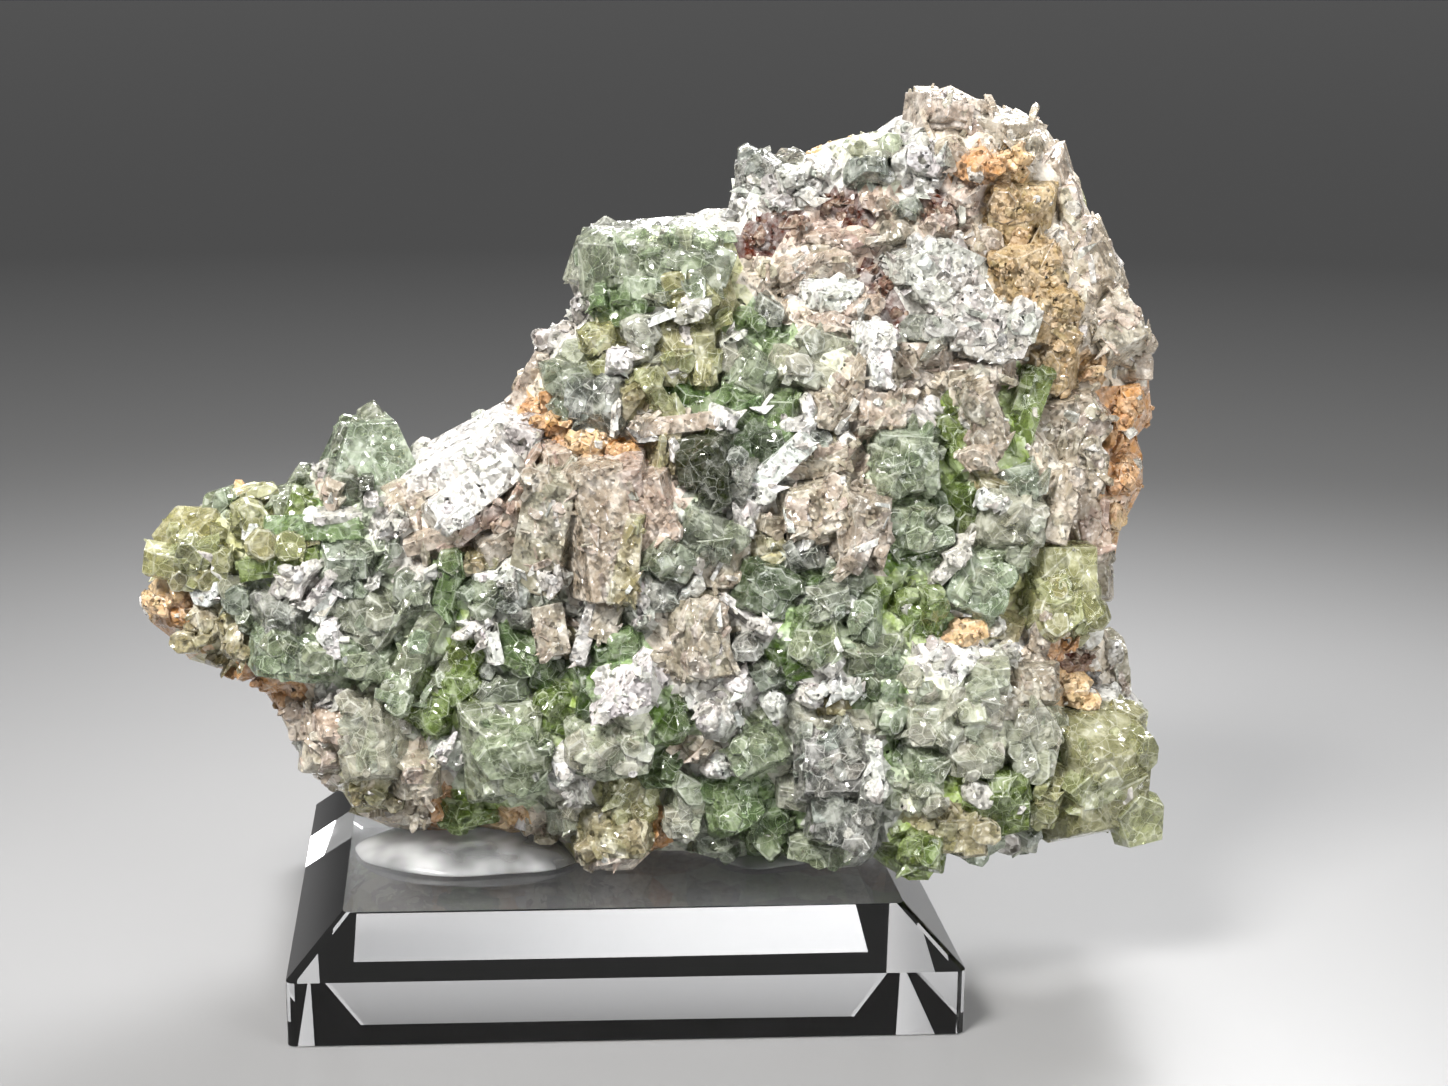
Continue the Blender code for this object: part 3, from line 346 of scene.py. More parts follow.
    ("lump", 17.8, 107.0, 4.0, 3.6, 0, 0.8, "white"),
    ("lump", 33.6, 114.2, 5.0, 4.0, 0, 0.6, "pale"),
    ("lump", 37.2, 113.0, 7.0, 6.0, 0, 1.6, "pale"),
    ("block", 35.4, 111.4, 5.0, 3.0, 0, 2.8, "smoke"),
    ("lump", 43.0, 113.6, 7.0, 7.0, 0, 2.0, "white"),
    ("lump", 40.6, 116.6, 4.0, 4.0, 0, 0.8, "frost"),
    ("block", 46.6, 118.8, 9.0, 5.0, -8, 0.6, "cream"),
    ("block", 43.2, 120.4, 3.0, 4.0, 0, 0.4, "cream"),
    ("block", 52.6, 116.9, 9.0, 5.0, -15, 0.6, "cream"),
    ("lump", 57.2, 114.6, 5.4, 5.6, 0, 0.8, "cream"),
    ("lump", 46.4, 114.4, 6.0, 4.0, 0, 2.4, "cream"),
    ("lump", 50.0, 112.3, 7.0, 4.6, 0, 2.4, "amber"),
    ("lump", 54.5, 112.6, 6.0, 4.4, 0, 2.0, "tan"),
    ("lump", 20.0, 101.8, 4.0, 3.6, 0, -0.6, "brown"),
    ("lump", 24.4, 104.2, 5.0, 3.0, 20, -0.4, "brown"),
    ("lump", 31.4, 107.0, 4.6, 3.0, 0, -0.2, "brown"),
    ("lump", 34.2, 105.0, 4.4, 2.4, 0, -0.6, "brown"),
    ("lump", 37.2, 107.0, 5.0, 3.0, 0, 1.0, "rose"),
    ("lump", 41.4, 106.6, 4.0, 3.0, 0, 1.2, "smoke"),
    ("lump", 45.4, 106.2, 5.0, 3.0, 0, 0.8, "brown"),
    ("lump", 48.4, 107.8, 4.4, 3.8, 0, 1.6, "rose"),
    ("lump", 28.0, 103.2, 8.0, 4.6, 15, 1.4, "rose"),
    ("lump", 33.2, 101.4, 7.0, 4.6, 0, 1.6, "rose"),
    ("lump", 39.2, 102.8, 7.0, 4.4, 0, 1.6, "beige"),
    ("lump", 45.6, 103.2, 7.0, 3.4, 5, 1.6, "rose"),
    ("blade", 27.6, 98.4, 4.6, 12.0, -75, 1.6, "cream"),
    ("lump", 21.8, 97.0, 7.0, 4.0, 20, 1.2, "cream"),
    ("plate", 44.6, 98.4, 13.0, 7.0, 5, 2.2, "frost"),
    ("plate", 51.2, 101.2, 5.6, 5.0, -20, 1.8, "cream"),
    ("plate", 46.8, 93.8, 11.0, 7.4, 0, 1.6, "frost"),
    ("lump", 35.8, 97.4, 3.6, 3.0, 0, 0.4, "brown"),
    ("lump", 37.4, 94.4, 3.0, 3.6, 0, 0.4, "brown"),
    ("lump", 39.4, 91.6, 3.0, 3.2, 0, 0.4, "brown"),
    ("block", 30.4, 94.6, 8.0, 3.6, -5, 2.2, "white"),
    ("lump", 34.2, 92.4, 6.0, 4.4, 0, 2.0, "rose"),
    ("lump", 30.2, 90.6, 8.0, 3.6, 0, 1.6, "cream"),
    ("lump", 25.4, 92.8, 7.0, 4.0, 0, 1.2, "cream"),
    ("plate", 43.8, 89.4, 6.6, 4.0, -5, 3.8, "smoke"),
    # Painted highlight: a white lump set where a glint shows.
    ("lump", 47.2, 90.0, 1.8, 4.0, -15, 4.4, "white"),
    ("plate", 52.2, 88.8, 12.0, 8.6, -15, 2.4, "frost"),
    ("block", 44.0, 85.6, 7.0, 3.4, 0, 1.4, "beige"),
    ("lump", 43.0, 82.4, 7.0, 4.6, 0, 1.0, "beige"),
    ("block", 50.0, 83.8, 12.0, 4.0, 0, 1.4, "beige"),
    # Right flank
    ("block", 56.8, 105.0, 8.0, 9.0, 0, 0.8, "umber"),
    ("block", 57.4, 97.2, 8.0, 8.0, 20, 0.6, "umber"),
    ("block", 60.4, 91.6, 9.0, 8.0, -15, 0.6, "umber"),
    ("block", 61.2, 84.4, 8.0, 7.0, 0, 0.6, "umber"),
    ("block", 63.2, 104.6, 4.4, 11.0, 12, 0.0, "cream"),
    ("block", 66.4, 98.6, 7.0, 10.0, 24, 0.0, "cream"),
    ("block", 69.6, 89.8, 8.0, 10.0, 30, 0.2, "cream"),
    ("block", 61.4, 111.0, 3.6, 6.0, 20, 0.0, "cream"),
    ("lump", 71.8, 83.6, 5.6, 6.0, 0, 0.4, "cream"),
    ("lump", 66.8, 83.6, 6.0, 5.0, 0, 0.8, "tan"),
    ("lump", 72.2, 78.6, 6.6, 6.4, 0, 0.8, "amber"),
    ("lump", 71.0, 73.8, 5.0, 4.6, 0, 0.6, "amber"),
    ("lump", 72.2, 68.4, 6.0, 6.6, 0, 1.0, "amber"),
    ("lump", 70.8, 62.4, 4.0, 5.4, 0, 0.6, "tan"),
    ("lump", 70.6, 58.6, 3.0, 2.6, 0, 0.4, "amber"),
    ("block", 69.4, 54.6, 4.6, 8.6, 8, 0.2, "beige"),
    ("plate", 63.8, 75.6, 11.0, 12.0, -20, 1.6, "beige"),
    ("plate", 66.8, 69.6, 7.0, 9.0, 10, 1.4, "beige"),
    ("plate", 67.0, 60.6, 5.6, 12.0, 14, 1.2, "rose"),
    ("blade", 57.4, 76.8, 4.8, 16.0, -20, 1.0, "olive"),
    ("plate", 52.2, 76.6, 6.0, 12.0, 12, 2.6, "beige"),
    ("plate", 51.8, 71.6, 5.4, 3.2, 5, 3.6, "cream"),
    ("block", 47.6, 72.6, 4.0, 8.0, 15, -0.4, "olive"),
    ("block", 48.6, 64.6, 6.0, 7.6, 5, 0.0, "olive"),
    ("block", 41.2, 74.0, 9.6, 5.0, -5, 2.4, "mint"),
    ("plate", 41.0, 77.0, 9.0, 2.6, -8, 4.0, "white"),
    ("block", 41.4, 69.4, 9.0, 7.6, 5, 2.6, "mint"),
    ("block", 40.8, 61.6, 7.6, 7.6, 3, 2.0, "mint"),
    ("block", 44.6, 61.4, 4.0, 7.6, 3, 1.6, "mint"),
    ("lump", 44.0, 66.8, 4.0, 2.4, 0, 4.0, "white"),
    ("lump", 38.8, 67.6, 3.6, 5.6, 0, 4.0, "frost"),
    ("block", 53.2, 67.0, 5.0, 5.0, -10, 0.6, "khaki"),
    ("block", 57.6, 66.8, 6.0, 5.6, 10, 1.2, "sage"),
    ("block", 56.8, 61.8, 8.6, 7.6, -12, 2.8, "pale"),
    # Painted highlight: a white plate standing for the lit top face of the block below.
    ("plate", 55.3, 64.7, 5.0, 1.8, -8, 5.0, "white"),
    ("blade", 63.2, 63.6, 4.0, 11.0, -15, 2.4, "cream"),
    # Middle
    ("plate", 28.8, 71.4, 12.0, 4.6, 18, 3.4, "cream"),
    ("block", 29.2, 63.2, 10.0, 8.6, 10, 2.8, "cream"),
    ("block", 35.0, 61.4, 7.6, 10.6, -5, 2.4, "beige"),
    ("blade", 22.6, 69.4, 3.6, 15.0, -48, 3.2, "white"),
    ("lump", 18.6, 64.0, 5.0, 5.6, 0, 1.8, "frost"),
    ("plate", 22.4, 61.8, 4.4, 3.2, -20, 2.4, "beige"),
    ("block", 21.0, 58.4, 5.6, 5.0, 10, 0.8, "khaki"),
    ("block", 27.4, 57.0, 6.0, 4.0, 20, 2.4, "smoke"),
    ("lump", 27.4, 58.8, 4.6, 2.6, 30, 4.0, "white"),
    ("block", 13.6, 60.4, 8.6, 7.0, -30, 1.0, "sage"),
    ("block", 16.4, 56.6, 7.0, 8.0, 0, 0.8, "beige"),
    ("block", 22.4, 51.8, 9.4, 7.4, -20, 0.0, "pine"),
    ("block", 28.4, 53.0, 5.0, 4.0, 0, -0.4, "deep"),
    ("block", 29.6, 50.4, 8.0, 5.0, 10, 1.6, "sage"),
    ("lump", 34.0, 50.3, 3.4, 2.4, 0, 3.4, "white"),
    ("block", 27.0, 47.6, 4.0, 6.6, -30, -0.4, "fern"),
    ("lump", 21.4, 46.6, 4.6, 3.4, -20, 3.2, "frost"),
    ("lump", 19.6, 44.0, 5.0, 5.0, 0, 2.4, "smoke"),
    ("blade", 18.6, 48.6, 1.5, 8.0, 55, 3.0, "frost"),
    ("block", 11.8, 45.6, 8.0, 12.0, 5, 1.8, "beige"),
    ("block", 24.4, 42.8, 5.0, 3.2, 15, -1.0, "deep"),
    ("block", 25.6, 39.2, 4.4, 5.0, -10, -0.6, "deep"),
    ("block", 29.6, 43.8, 6.4, 5.0, 20, 1.4, "mint"),
    ("lump", 31.8, 41.4, 4.6, 4.6, 0, 2.2, "frost"),
    ("block", 33.2, 54.0, 6.0, 4.0, 0, 1.0, "sage"),
    ("block", 36.2, 47.6, 5.0, 7.0, 0, 1.2, "mint"),
    ("block", 37.2, 42.4, 8.6, 7.0, 0, 1.0, "mint"),
    ("block", 42.4, 48.6, 6.6, 9.0, 3, 0.0, "olive"),
    ("block", 42.8, 57.2, 10.4, 3.0, 8, -0.2, "deep"),
    ("block", 47.6, 49.2, 3.0, 8.0, 0, 0.2, "fern"),
    ("blade", 47.6, 55.2, 2.0, 10.0, -40, 2.2, "frost"),
    ("block", 51.8, 52.4, 9.0, 10.6, -20, 1.6, "mint"),
    ("block", 55.2, 57.0, 8.6, 5.6, 10, 2.0, "mint"),
    ("block", 63.4, 52.0, 10.0, 12.0, 0, 1.8, "lime"),
    ("block", 55.6, 47.0, 6.0, 4.0, -15, 0.2, "khaki"),
    ("block", 50.4, 46.0, 6.0, 3.6, 10, 0.2, "tan"),
    ("block", 66.6, 47.4, 5.6, 8.0, 0, 1.4, "lime"),
    ("block", 61.8, 46.8, 3.0, 9.0, -4, 2.2, "cream"),
    ("lump", 64.8, 44.4, 3.6, 5.0, 15, 1.0, "amber"),
    ("lump", 68.0, 42.6, 5.6, 2.8, 0, 0.8, "cream"),
    ("blade", 67.2, 41.0, 1.4, 6.6, -88, 1.4, "brown"),
    ("lump", 69.8, 37.6, 3.4, 3.0, 0, 1.4, "slate"),
    ("block", 72.6, 40.8, 3.4, 7.0, 10, 0.0, "beige"),
    ("lump", 66.2, 38.0, 8.0, 5.0, 0, 1.0, "tan"),
    ("block", 61.0, 37.6, 7.0, 6.0, 0, 0.8, "beige"),
    ("lump", 56.6, 42.0, 5.0, 4.0, 0, 1.8, "frost"),
    ("lump", 50.8, 40.8, 5.0, 4.0, 0, 2.2, "white"),
    ("block", 54.2, 38.4, 6.0, 6.0, 0, 1.4, "pale"),
    ("lump", 47.0, 42.4, 4.0, 3.2, 0, 1.8, "frost"),
    # Foot
    ("lump", -46.4, 37.2, 4.0, 3.4, 0, 0.2, "amber"),
    ("block", -43.6, 34.4, 5.0, 6.0, 10, 0.6, "cream"),
    ("lump", -44.0, 31.0, 3.6, 5.0, 0, 0.6, "frost"),
    ("block", -41.2, 29.6, 6.0, 7.0, -5, 1.0, "cream"),
    ("lump", -40.6, 36.2, 5.0, 2.6, 10, 1.8, "frost"),
    ("block", -39.4, 33.0, 6.0, 5.0, 0, 1.2, "rose"),
    ("lump", -42.0, 26.6, 3.0, 3.0, 0, 0.6, "cream"),
    ("block", -33.6, 31.2, 9.0, 12.0, 5, 1.0, "pale"),
    ("block", -35.0, 26.2, 6.4, 5.2, -35, 2.0, "khaki"),
    ("block", -33.2, 22.4, 7.0, 4.0, -12, 1.4, "khaki"),
    ("block", -28.4, 26.2, 7.0, 8.0, 0, 1.2, "cream"),
    ("block", -29.8, 20.0, 7.0, 4.0, -10, 0.8, "cream"),
    ("lump", -25.2, 20.4, 4.6, 4.0, 0, 1.0, "amber"),
    ("block", -20.2, 20.2, 9.0, 3.6, -8, 0.8, "olive"),
    ("lump", -15.6, 18.2, 6.0, 2.6, 0, 0.6, "tan"),
    ("block", -15.6, 29.4, 11.0, 14.2, 4, 2.6, "mint"),
    ("plate", -23.3, 29.0, 5.6, 5.2, -30, 2.6, "white"),
    ("block", -24.4, 36.4, 7.6, 10.0, -30, -0.4, "olive"),
    ("block", -29.6, 36.0, 4.0, 9.0, 0, 0.8, "pale"),
    ("block", -20.0, 36.0, 4.6, 6.0, 0, -0.6, "olive"),
    ("block", -15.8, 38.2, 8.0, 4.0, 10, 1.6, "sage"),
    ("lump", -7.0, 26.4, 3.6, 6.0, 0, 3.0, "white"),
    ("lump", -5.2, 22.6, 4.0, 5.0, 0, 2.8, "frost"),
    ("blade", -5.8, 27.8, 1.1, 5.0, 85, 4.0, "white"),
    ("block", -0.4, 30.4, 11.2, 8.0, 8, 2.6, "pale"),
    ("block", 8.2, 33.6, 3.4, 6.0, -20, 0.4, "deep"),
    ("block", 6.8, 27.6, 4.0, 7.6, -10, 0.0, "fern"),
    ("block", 12.0, 33.4, 4.0, 5.0, 0, 0.0, "fern"),
    ("block", 2.4, 22.2, 7.4, 7.0, 10, 1.8, "lime"),
    ("block", 0.6, 16.8, 10.0, 6.0, 0, 1.2, "khaki"),
    ("block", -5.6, 19.0, 7.0, 5.0, 5, 1.4, "pale"),
    ("lump", -9.0, 17.2, 6.0, 3.0, 0, 0.8, "cream"),
    ("block", -0.4, 13.0, 6.0, 4.0, 10, 0.6, "cream"),
    ("lump", 6.6, 17.0, 4.0, 4.4, 20, 0.4, "amber"),
    ("block", 10.6, 20.0, 5.6, 8.0, -12, 2.2, "pale"),
    ("lump", 11.8, 22.3, 3.2, 2.8, 0, 5.0, "mint"),
    ("plate", 14.0, 37.0, 8.0, 7.0, 0, 2.8, "frost"),
    ("lump", 18.0, 38.4, 5.0, 6.0, 0, 3.4, "white"),
    ("lump", 15.4, 32.6, 6.0, 6.0, 0, 3.4, "frost"),
    ("lump", 12.6, 29.3, 6.0, 4.6, 0, 3.2, "cream"),
    ("lump", 15.2, 25.7, 5.0, 3.4, 0, 3.6, "white"),
    ("block", 21.0, 28.3, 7.6, 6.0, 30, 2.4, "mint"),
    ("lump", 23.4, 35.8, 5.0, 3.0, 0, 3.4, "white"),
    ("block", 22.8, 40.0, 4.4, 5.0, 30, 2.0, "sage"),
    ("lump", 28.6, 36.3, 5.0, 4.0, -30, 3.2, "white"),
    ("plate", 33.0, 37.4, 6.0, 1.6, -8, 4.0, "white"),
    ("block", 31.6, 35.0, 4.0, 3.0, 0, 1.4, "khaki"),
    ("block", 17.6, 20.6, 8.0, 8.6, 15, 1.0, "fern"),
    ("block", 15.0, 15.2, 7.0, 4.4, 0, 0.6, "sage"),
    ("block", 23.6, 18.2, 8.0, 8.4, -10, 1.2, "fern"),
    ("block", 27.0, 22.6, 6.0, 5.0, 0, 2.0, "pale"),
    ("block", 33.0, 26.6, 11.6, 11.6, 0, 3.2, "smoke"),
    ("block", 34.0, 18.0, 9.6, 7.6, -8, 2.6, "smoke"),
    ("blade", 38.0, 25.0, 2.0, 9.0, 8, 5.2, "white"),
    ("block", 33.0, 32.2, 12.6, 3.0, -4, 3.0, "pale"),
    ("block", 30.0, 13.8, 8.0, 4.0, -5, 1.0, "mint"),
    ("block", 37.6, 36.6, 7.0, 2.4, -5, 0.0, "deep"),
    ("block", 41.6, 30.0, 2.6, 8.6, -8, 0.0, "deep"),
    ("block", 39.6, 33.6, 5.0, 5.0, 0, 1.0, "mint"),
    ("block", 46.2, 32.6, 8.0, 8.0, 0, 1.0, "pale"),
    ("block", 45.0, 25.6, 6.0, 7.0, 0, 1.4, "mint"),
    ("lump", 46.0, 20.8, 5.0, 5.0, 0, 2.0, "pale"),
    ("block", 52.6, 27.0, 8.0, 4.0, 5, 2.4, "pale"),
    ("plate", 53.6, 34.0, 5.6, 10.6, -5, 2.4, "pale"),
    ("plate", 60.6, 29.6, 8.4, 12.0, 10, 3.0, "pale"),
    ("block", 54.6, 21.4, 12.0, 8.6, 5, 1.4, "olive"),
    ("block", 50.2, 16.6, 9.6, 6.6, 0, 1.0, "khaki"),
    ("block", 45.8, 13.0, 6.4, 6.0, -10, 0.8, "olive"),
    ("block", 53.6, 14.4, 7.0, 4.4, 5, 0.6, "sage"),
    ("block", 59.6, 15.0, 6.0, 4.4, -8, 0.6, "sage"),
    ("block", 63.6, 21.2, 5.0, 9.0, -12, 1.8, "lime"),
    ("block", 64.0, 27.4, 3.4, 7.6, -12, 1.4, "olive"),
    ("block", 69.8, 24.6, 14.2, 17.4, 0, 1.0, "moss"),
    ("block", 75.6, 25.0, 3.4, 14.0, -3, 0.0, "lime"),
    ("plate", 72.2, 35.0, 4.6, 3.0, -15, 2.6, "white"),
    ("lump", 74.4, 33.0, 5.0, 3.0, 0, 1.0, "pale"),
    ("block", 58.0, 34.4, 6.0, 5.0, 0, 1.4, "beige"),
]


def linear(value):
    """Scene-linear amount of a display colour value from 0 to 255."""
    part = value / 255.0
    return part / 12.92 if part <= 0.04045 else ((part + 0.055) / 1.055) ** 2.4


def tone_colour(tone):
    """Scene-linear colour and clearness of a tone."""
    red, green, blue, clear = TONES[tone][:4]
    return np.array([linear(red), linear(green), linear(blue), clear])


def blend(table, across, up):
    """Distance-weighted values of a table at picture position (across, up)."""
    rows = np.array(table, dtype=float)
    spread = (rows[:, 0] - across) ** 2 + (rows[:, 1] - up) ** 2 + 4.0
    weight = spread ** -1.5
    return weight @ rows[:, 2:] / weight.sum()


def edge_distance(across, up):
    """Distance from (across, up) to the outline."""
    ring = np.array(OUTLINE)
    step = np.roll(ring, -1, axis=0) - ring
    gone = np.array([across, up]) - ring
    along = np.clip((gone * step).sum(axis=1) / (step ** 2).sum(axis=1), 0.0, 1.0)
    near = ring + step * along[:, None]
    return float(np.hypot(near[:, 0] - across, near[:, 1] - up).min())


def inside(across, up):
    """True where (across, up) lies within the outline."""
    odd = False
    last = OUTLINE[-1]
    for corner in OUTLINE:
        if (corner[1] > up) != (last[1] > up):
            cross = (last[0] - corner[0]) * (up - corner[1]) / (last[1] - corner[1]) + corner[0]
            if across < cross:
                odd = not odd
        last = corner
    return odd


def roughness(across, up, side):
    """Uneven height of the rock's skin."""
    broad = noise.noise(Vector((across, up, side)) * 0.09)
    fine = noise.noise(Vector((across, up, side + 40.0)) * 0.23)
    return 3.0 * broad + 1.4 * fine


def depth_at(across, up, side):
    """Depth of the rock's skin; side is -1 for the front and 1 for the back."""
    front, back = blend(SWELL_AT, across, up)
    swell = front if side < 0 else back
    reach = min(edge_distance(across, up) / ROUNDING, 1.0)
    profile = math.sqrt(1.0 - (1.0 - reach) ** 2)
    return blend(EDGE_AT, across, up)[0] + side * profile * (swell + roughness(across, up, side * 9.0))


def place(across, up, depth):
    """Point at a depth on the sight line through (across, up)."""
    scale = (depth - EYE[1]) / -EYE[1]
    return Vector((
        EYE[0] + (across - EYE[0]) * scale,
        depth,
        EYE[2] + (up - EYE[2]) * scale,
    ))


def across_up(point):
    """Picture position of a point."""
    scale = (point[1] - EYE[1]) / -EYE[1]
    return EYE[0] + (point[0] - EYE[0]) / scale, EYE[2] + (point[2] - EYE[2]) / scale


def skin(step, side):
    """Triangles of one side of the rock, with the outline's points first."""
    spots = [Vector(corner) for corner in OUTLINE]
    count = len(spots)
    low = np.array(OUTLINE).min(axis=0)
    high = np.array(OUTLINE).max(axis=0)
    row = 0
    up = low[1]
    while up < high[1]:
        across = low[0] + (row % 2) * step * 0.5
        while across < high[0]:
            if inside(across, up) and edge_distance(across, up) > step * 0.5:
                spots.append(Vector((across, up)))
            across += step
        up += step * 0.866
        row += 1
    ring = [(i, (i + 1) % count) for i in range(count)]
    flat = delaunay_2d_cdt(spots, ring, [list(range(count))], 1, 0.0001)
    spots = list(flat[0])
    faces = []
    for a, b, c in flat[2]:
        if max(a, b, c) >= count:
            faces.append((a, b, c))
            continue
        middle = len(spots)
        spots.append((spots[a] + spots[b] + spots[c]) / 3)
        faces += [(a, b, middle), (b, c, middle), (c, a, middle)]
    points = []
    for index, spot in enumerate(spots):
        depth = blend(EDGE_AT, *spot)[0] if index < count else depth_at(spot.x, spot.y, side)
        points.append(place(spot.x, spot.y, depth))
    return points, faces, count


def rock_form():
    """Points and triangles of the rock, with a granular surface."""
    front, front_faces, count = skin(FRONT_STEP, -1)
    back, back_faces, _ = skin(BACK_STEP, 1)
    form = bmesh.new()
    made = [form.verts.new(point) for point in front]
    rear = made[:count] + [form.verts.new(point) for point in back[count:]]
    for face in front_faces:
        form.faces.new([made[i] for i in face])
    for face in back_faces:
        form.faces.new([rear[i] for i in reversed(face)])
    bmesh.ops.recalc_face_normals(form, faces=form.faces)
    form.normal_update()
    for vert in form.verts:
        grain = noise.cell(vert.co * 0.55) * 0.7 + noise.noise(vert.co * 0.5) * 0.9
        vert.co += vert.normal * (grain + 0.9)
        vert.co.z = max(vert.co.z, FOOT)
    return arrays(form)


def arrays(form):
    """Points, triangles and rim flags of a form, which is then freed."""
    bmesh.ops.triangulate(form, faces=form.faces)
    form.verts.index_update()
    points = np.array([vert.co for vert in form.verts])
    faces = np.array([[vert.index for vert in face.verts] for face in form.faces])
    rim = np.array([face.material_index for face in form.faces], dtype=bool)
    form.free()
    return points, faces, rim


def crystal_form(points, bevel):
    """Points, triangles and rim flags of a convex crystal with narrow bevels."""
    form = bmesh.new()
    for point in points:
        form.verts.new(point)
    made = bmesh.ops.convex_hull(form, input=form.verts)
    loose = [item for item in made["geom_interior"] if isinstance(item, bmesh.types.BMVert)]
    bmesh.ops.delete(form, geom=loose, context="VERTS")
    bmesh.ops.dissolve_limit(form, angle_limit=0.05, verts=form.verts, edges=form.edges)
    if bevel:
        bmesh.ops.bevel(form, geom=form.edges, offset=bevel, segments=1, affect="EDGES",
                        clamp_overlap=True, material=1)
    bmesh.ops.recalc_face_normals(form, faces=form.faces)
    return arrays(form)


def block_points(rng):
    """Corners of a stubby prism that slopes in to an off-centre front face, in a unit box."""
    points = []
    shift_x = rng.uniform(-0.1, 0.1)
    shift_z = rng.uniform(-0.1, 0.1)
    front_x = rng.uniform(0.24, 0.36)
    front_z = rng.uniform(0.24, 0.36)
    for x, z in ((-1, -1), (1, -1), (1, 1), (-1, 1)):
        trim = rng.choice((0.06, 0.16, 0.3))
        points.append(Vector((0.5 * x, 0.5, 0.5 * z)))
        points.append(Vector((0.5 * x, -0.12, 0.5 * z * (1.0 - trim))))
        points.append(Vector((0.5 * x * (1.0 - trim), -0.12, 0.5 * z)))
        points.append(Vector((front_x * x + shift_x, -0.5, front_z * z + shift_z)))
    return points


def point_points(rng):
    """Corners of a prism that narrows to a small flat top."""
    points = []
    for x, y in ((-0.5, -0.5), (0.5, -0.5), (0.5, 0.5), (-0.5, 0.5)):
        points.append(Vector((x, y, -0.5)))
        points.append(Vector((x, y, -0.12)))
        points.append(Vector((x * 0.46, y * 0.5, 0.5)))
    return points


def blade_points(rng):
    """Corners of a long flat blade with roof-shaped ends."""
    points = []
    for y, shrink in ((-0.5, 0.8), (0.5, 1.0)):
        for end in (-0.5, 0.5):
            points.append(Vector((-0.5 * shrink, y, end * 0.78)))
            points.append(Vector((0.5 * shrink, y, end * 0.82)))
            points.append(Vector((-0.04 * shrink, y, end * shrink)))
    return points


def plate_points(rng):
    """Corners of a many-sided tablet with a sloping rim."""
    points = []
    sides = rng.choice((5, 6, 7))
    for i in range(sides):
        angle = math.tau * (i + rng.uniform(-0.22, 0.22)) / sides
        x = 0.56 * math.cos(angle)
        z = 0.56 * math.sin(angle)
        points.append(Vector((x * 0.82, -0.5, z * 0.82)))
        points.append(Vector((x, 0.5, z)))
    return points


def shard_points(rng):
    """Corners of a three-cornered plate."""
    points = []
    for x, z in ((-0.5, -0.5), (0.42, 0.5), (0.42, -0.2)):
        points.append(Vector((x, -0.4, z)))
        points.append(Vector((x * 0.9, 0.5, z * 0.9)))
    return points


def lump_points(rng):
    """Corners of an uneven rounded lump."""
    points = []
    total = 14
    for i in range(total):
        height = 1.0 - 2.0 * (i + 0.5) / total
        ring = math.sqrt(1.0 - height * height)
        angle = 2.39996 * i
        reach = 0.5 * rng.uniform(0.84, 1.08)
        points.append(Vector((ring * math.cos(angle), ring * math.sin(angle), height)) * reach)
    return points


SHAPES = {
    "block": (block_points, 0.9),
    "point": (point_points, 0.8),
    "blade": (blade_points, 0.8),
    "plate": (plate_points, 0.5),
    "shard": (shard_points, 0.4),
    "lump": (lump_points, 0.9),
}


def crystal_frame(row):
    """Seeded shape, middle, turn and size of a listed crystal."""
    kind, across, up, wide, tall, turn, out = row[:7]
    rng = random.Random(int(across * 10) * 4001 + int(up * 10))
    make, ratio = SHAPES[kind]
    deep = ratio * min(max(wide, tall), 1.6 * min(wide, tall)) + 2.0
    depth = depth_at(across, up, -1) - 0.8 * out + SINK * deep + rng.uniform(-0.3, 0.3)
    centre = place(across, up, depth)
    scale = (depth - EYE[1]) / -EYE[1]
    tilt = Matrix.Rotation(rng.uniform(-0.3, 0.3), 3, "X") @ Matrix.Rotation(rng.uniform(-0.4, 0.4), 3, "Z")
    lean = Matrix.Rotation(-math.radians(turn), 3, "Y")
    size = Vector((wide * SPREAD, deep, tall * SPREAD)) * scale
    return make(rng), centre, lean @ tilt, size


def back_crystals():
    """Seeded lumps and blocks on the rock's back and sides."""
    rng = random.Random(BACK_SEED)
    rows = []
    while len(rows) < BACK_COUNT:
        across = rng.uniform(-62.0, 74.0)
        up = rng.uniform(16.0, 116.0)
        if not inside(across, up) or edge_distance(across, up) < 3.0:
            continue
        if any(math.hypot(across - r[0], up - r[1]) < BACK_APART for r in rows):
            continue
        rows.append((across, up, rng.uniform(6.0, 11.0), rng.choice(("lump", "block", "block"))))
    solids = []
    for across, up, wide, kind in rows:
        make, ratio = SHAPES[kind]
        centre = place(across, up, depth_at(across, up, 1) - 0.1 * wide)
        turn = Matrix.Rotation(rng.uniform(0.0, 3.0), 3, Vector((rng.uniform(-1, 1), 1, rng.uniform(-1, 1))))
        size = Vector((wide, wide * 0.8, wide * rng.uniform(0.7, 1.2)))
        solids.append((make(rng), centre, turn, size))
    return solids


ROW_PLACE = np.array([row[1:5] for row in CRYSTALS])


def nearest_tone(across, up):
    """Tone of the listed crystal nearest to a picture position."""
    gap_x = (ROW_PLACE[:, 0] - across) / (ROW_PLACE[:, 2] + 1.0)
    gap_z = (ROW_PLACE[:, 1] - up) / (ROW_PLACE[:, 3] + 1.0)
    return CRYSTALS[int(np.argmin(gap_x ** 2 + gap_z ** 2))][7]


def back_tone(point):
    """Tone of the rock and its growth on the back at a point."""
    level = noise.noise(Vector(point) * 0.045) + 0.35 * noise.noise(Vector(point) * 0.16)
    for limit, tone in ((-0.34, "umber"), (-0.18, "tan"), (-0.02, "cream"), (0.14, "frost"), (0.28, "pale")):
        if level < limit:
            return tone
    return "lime"


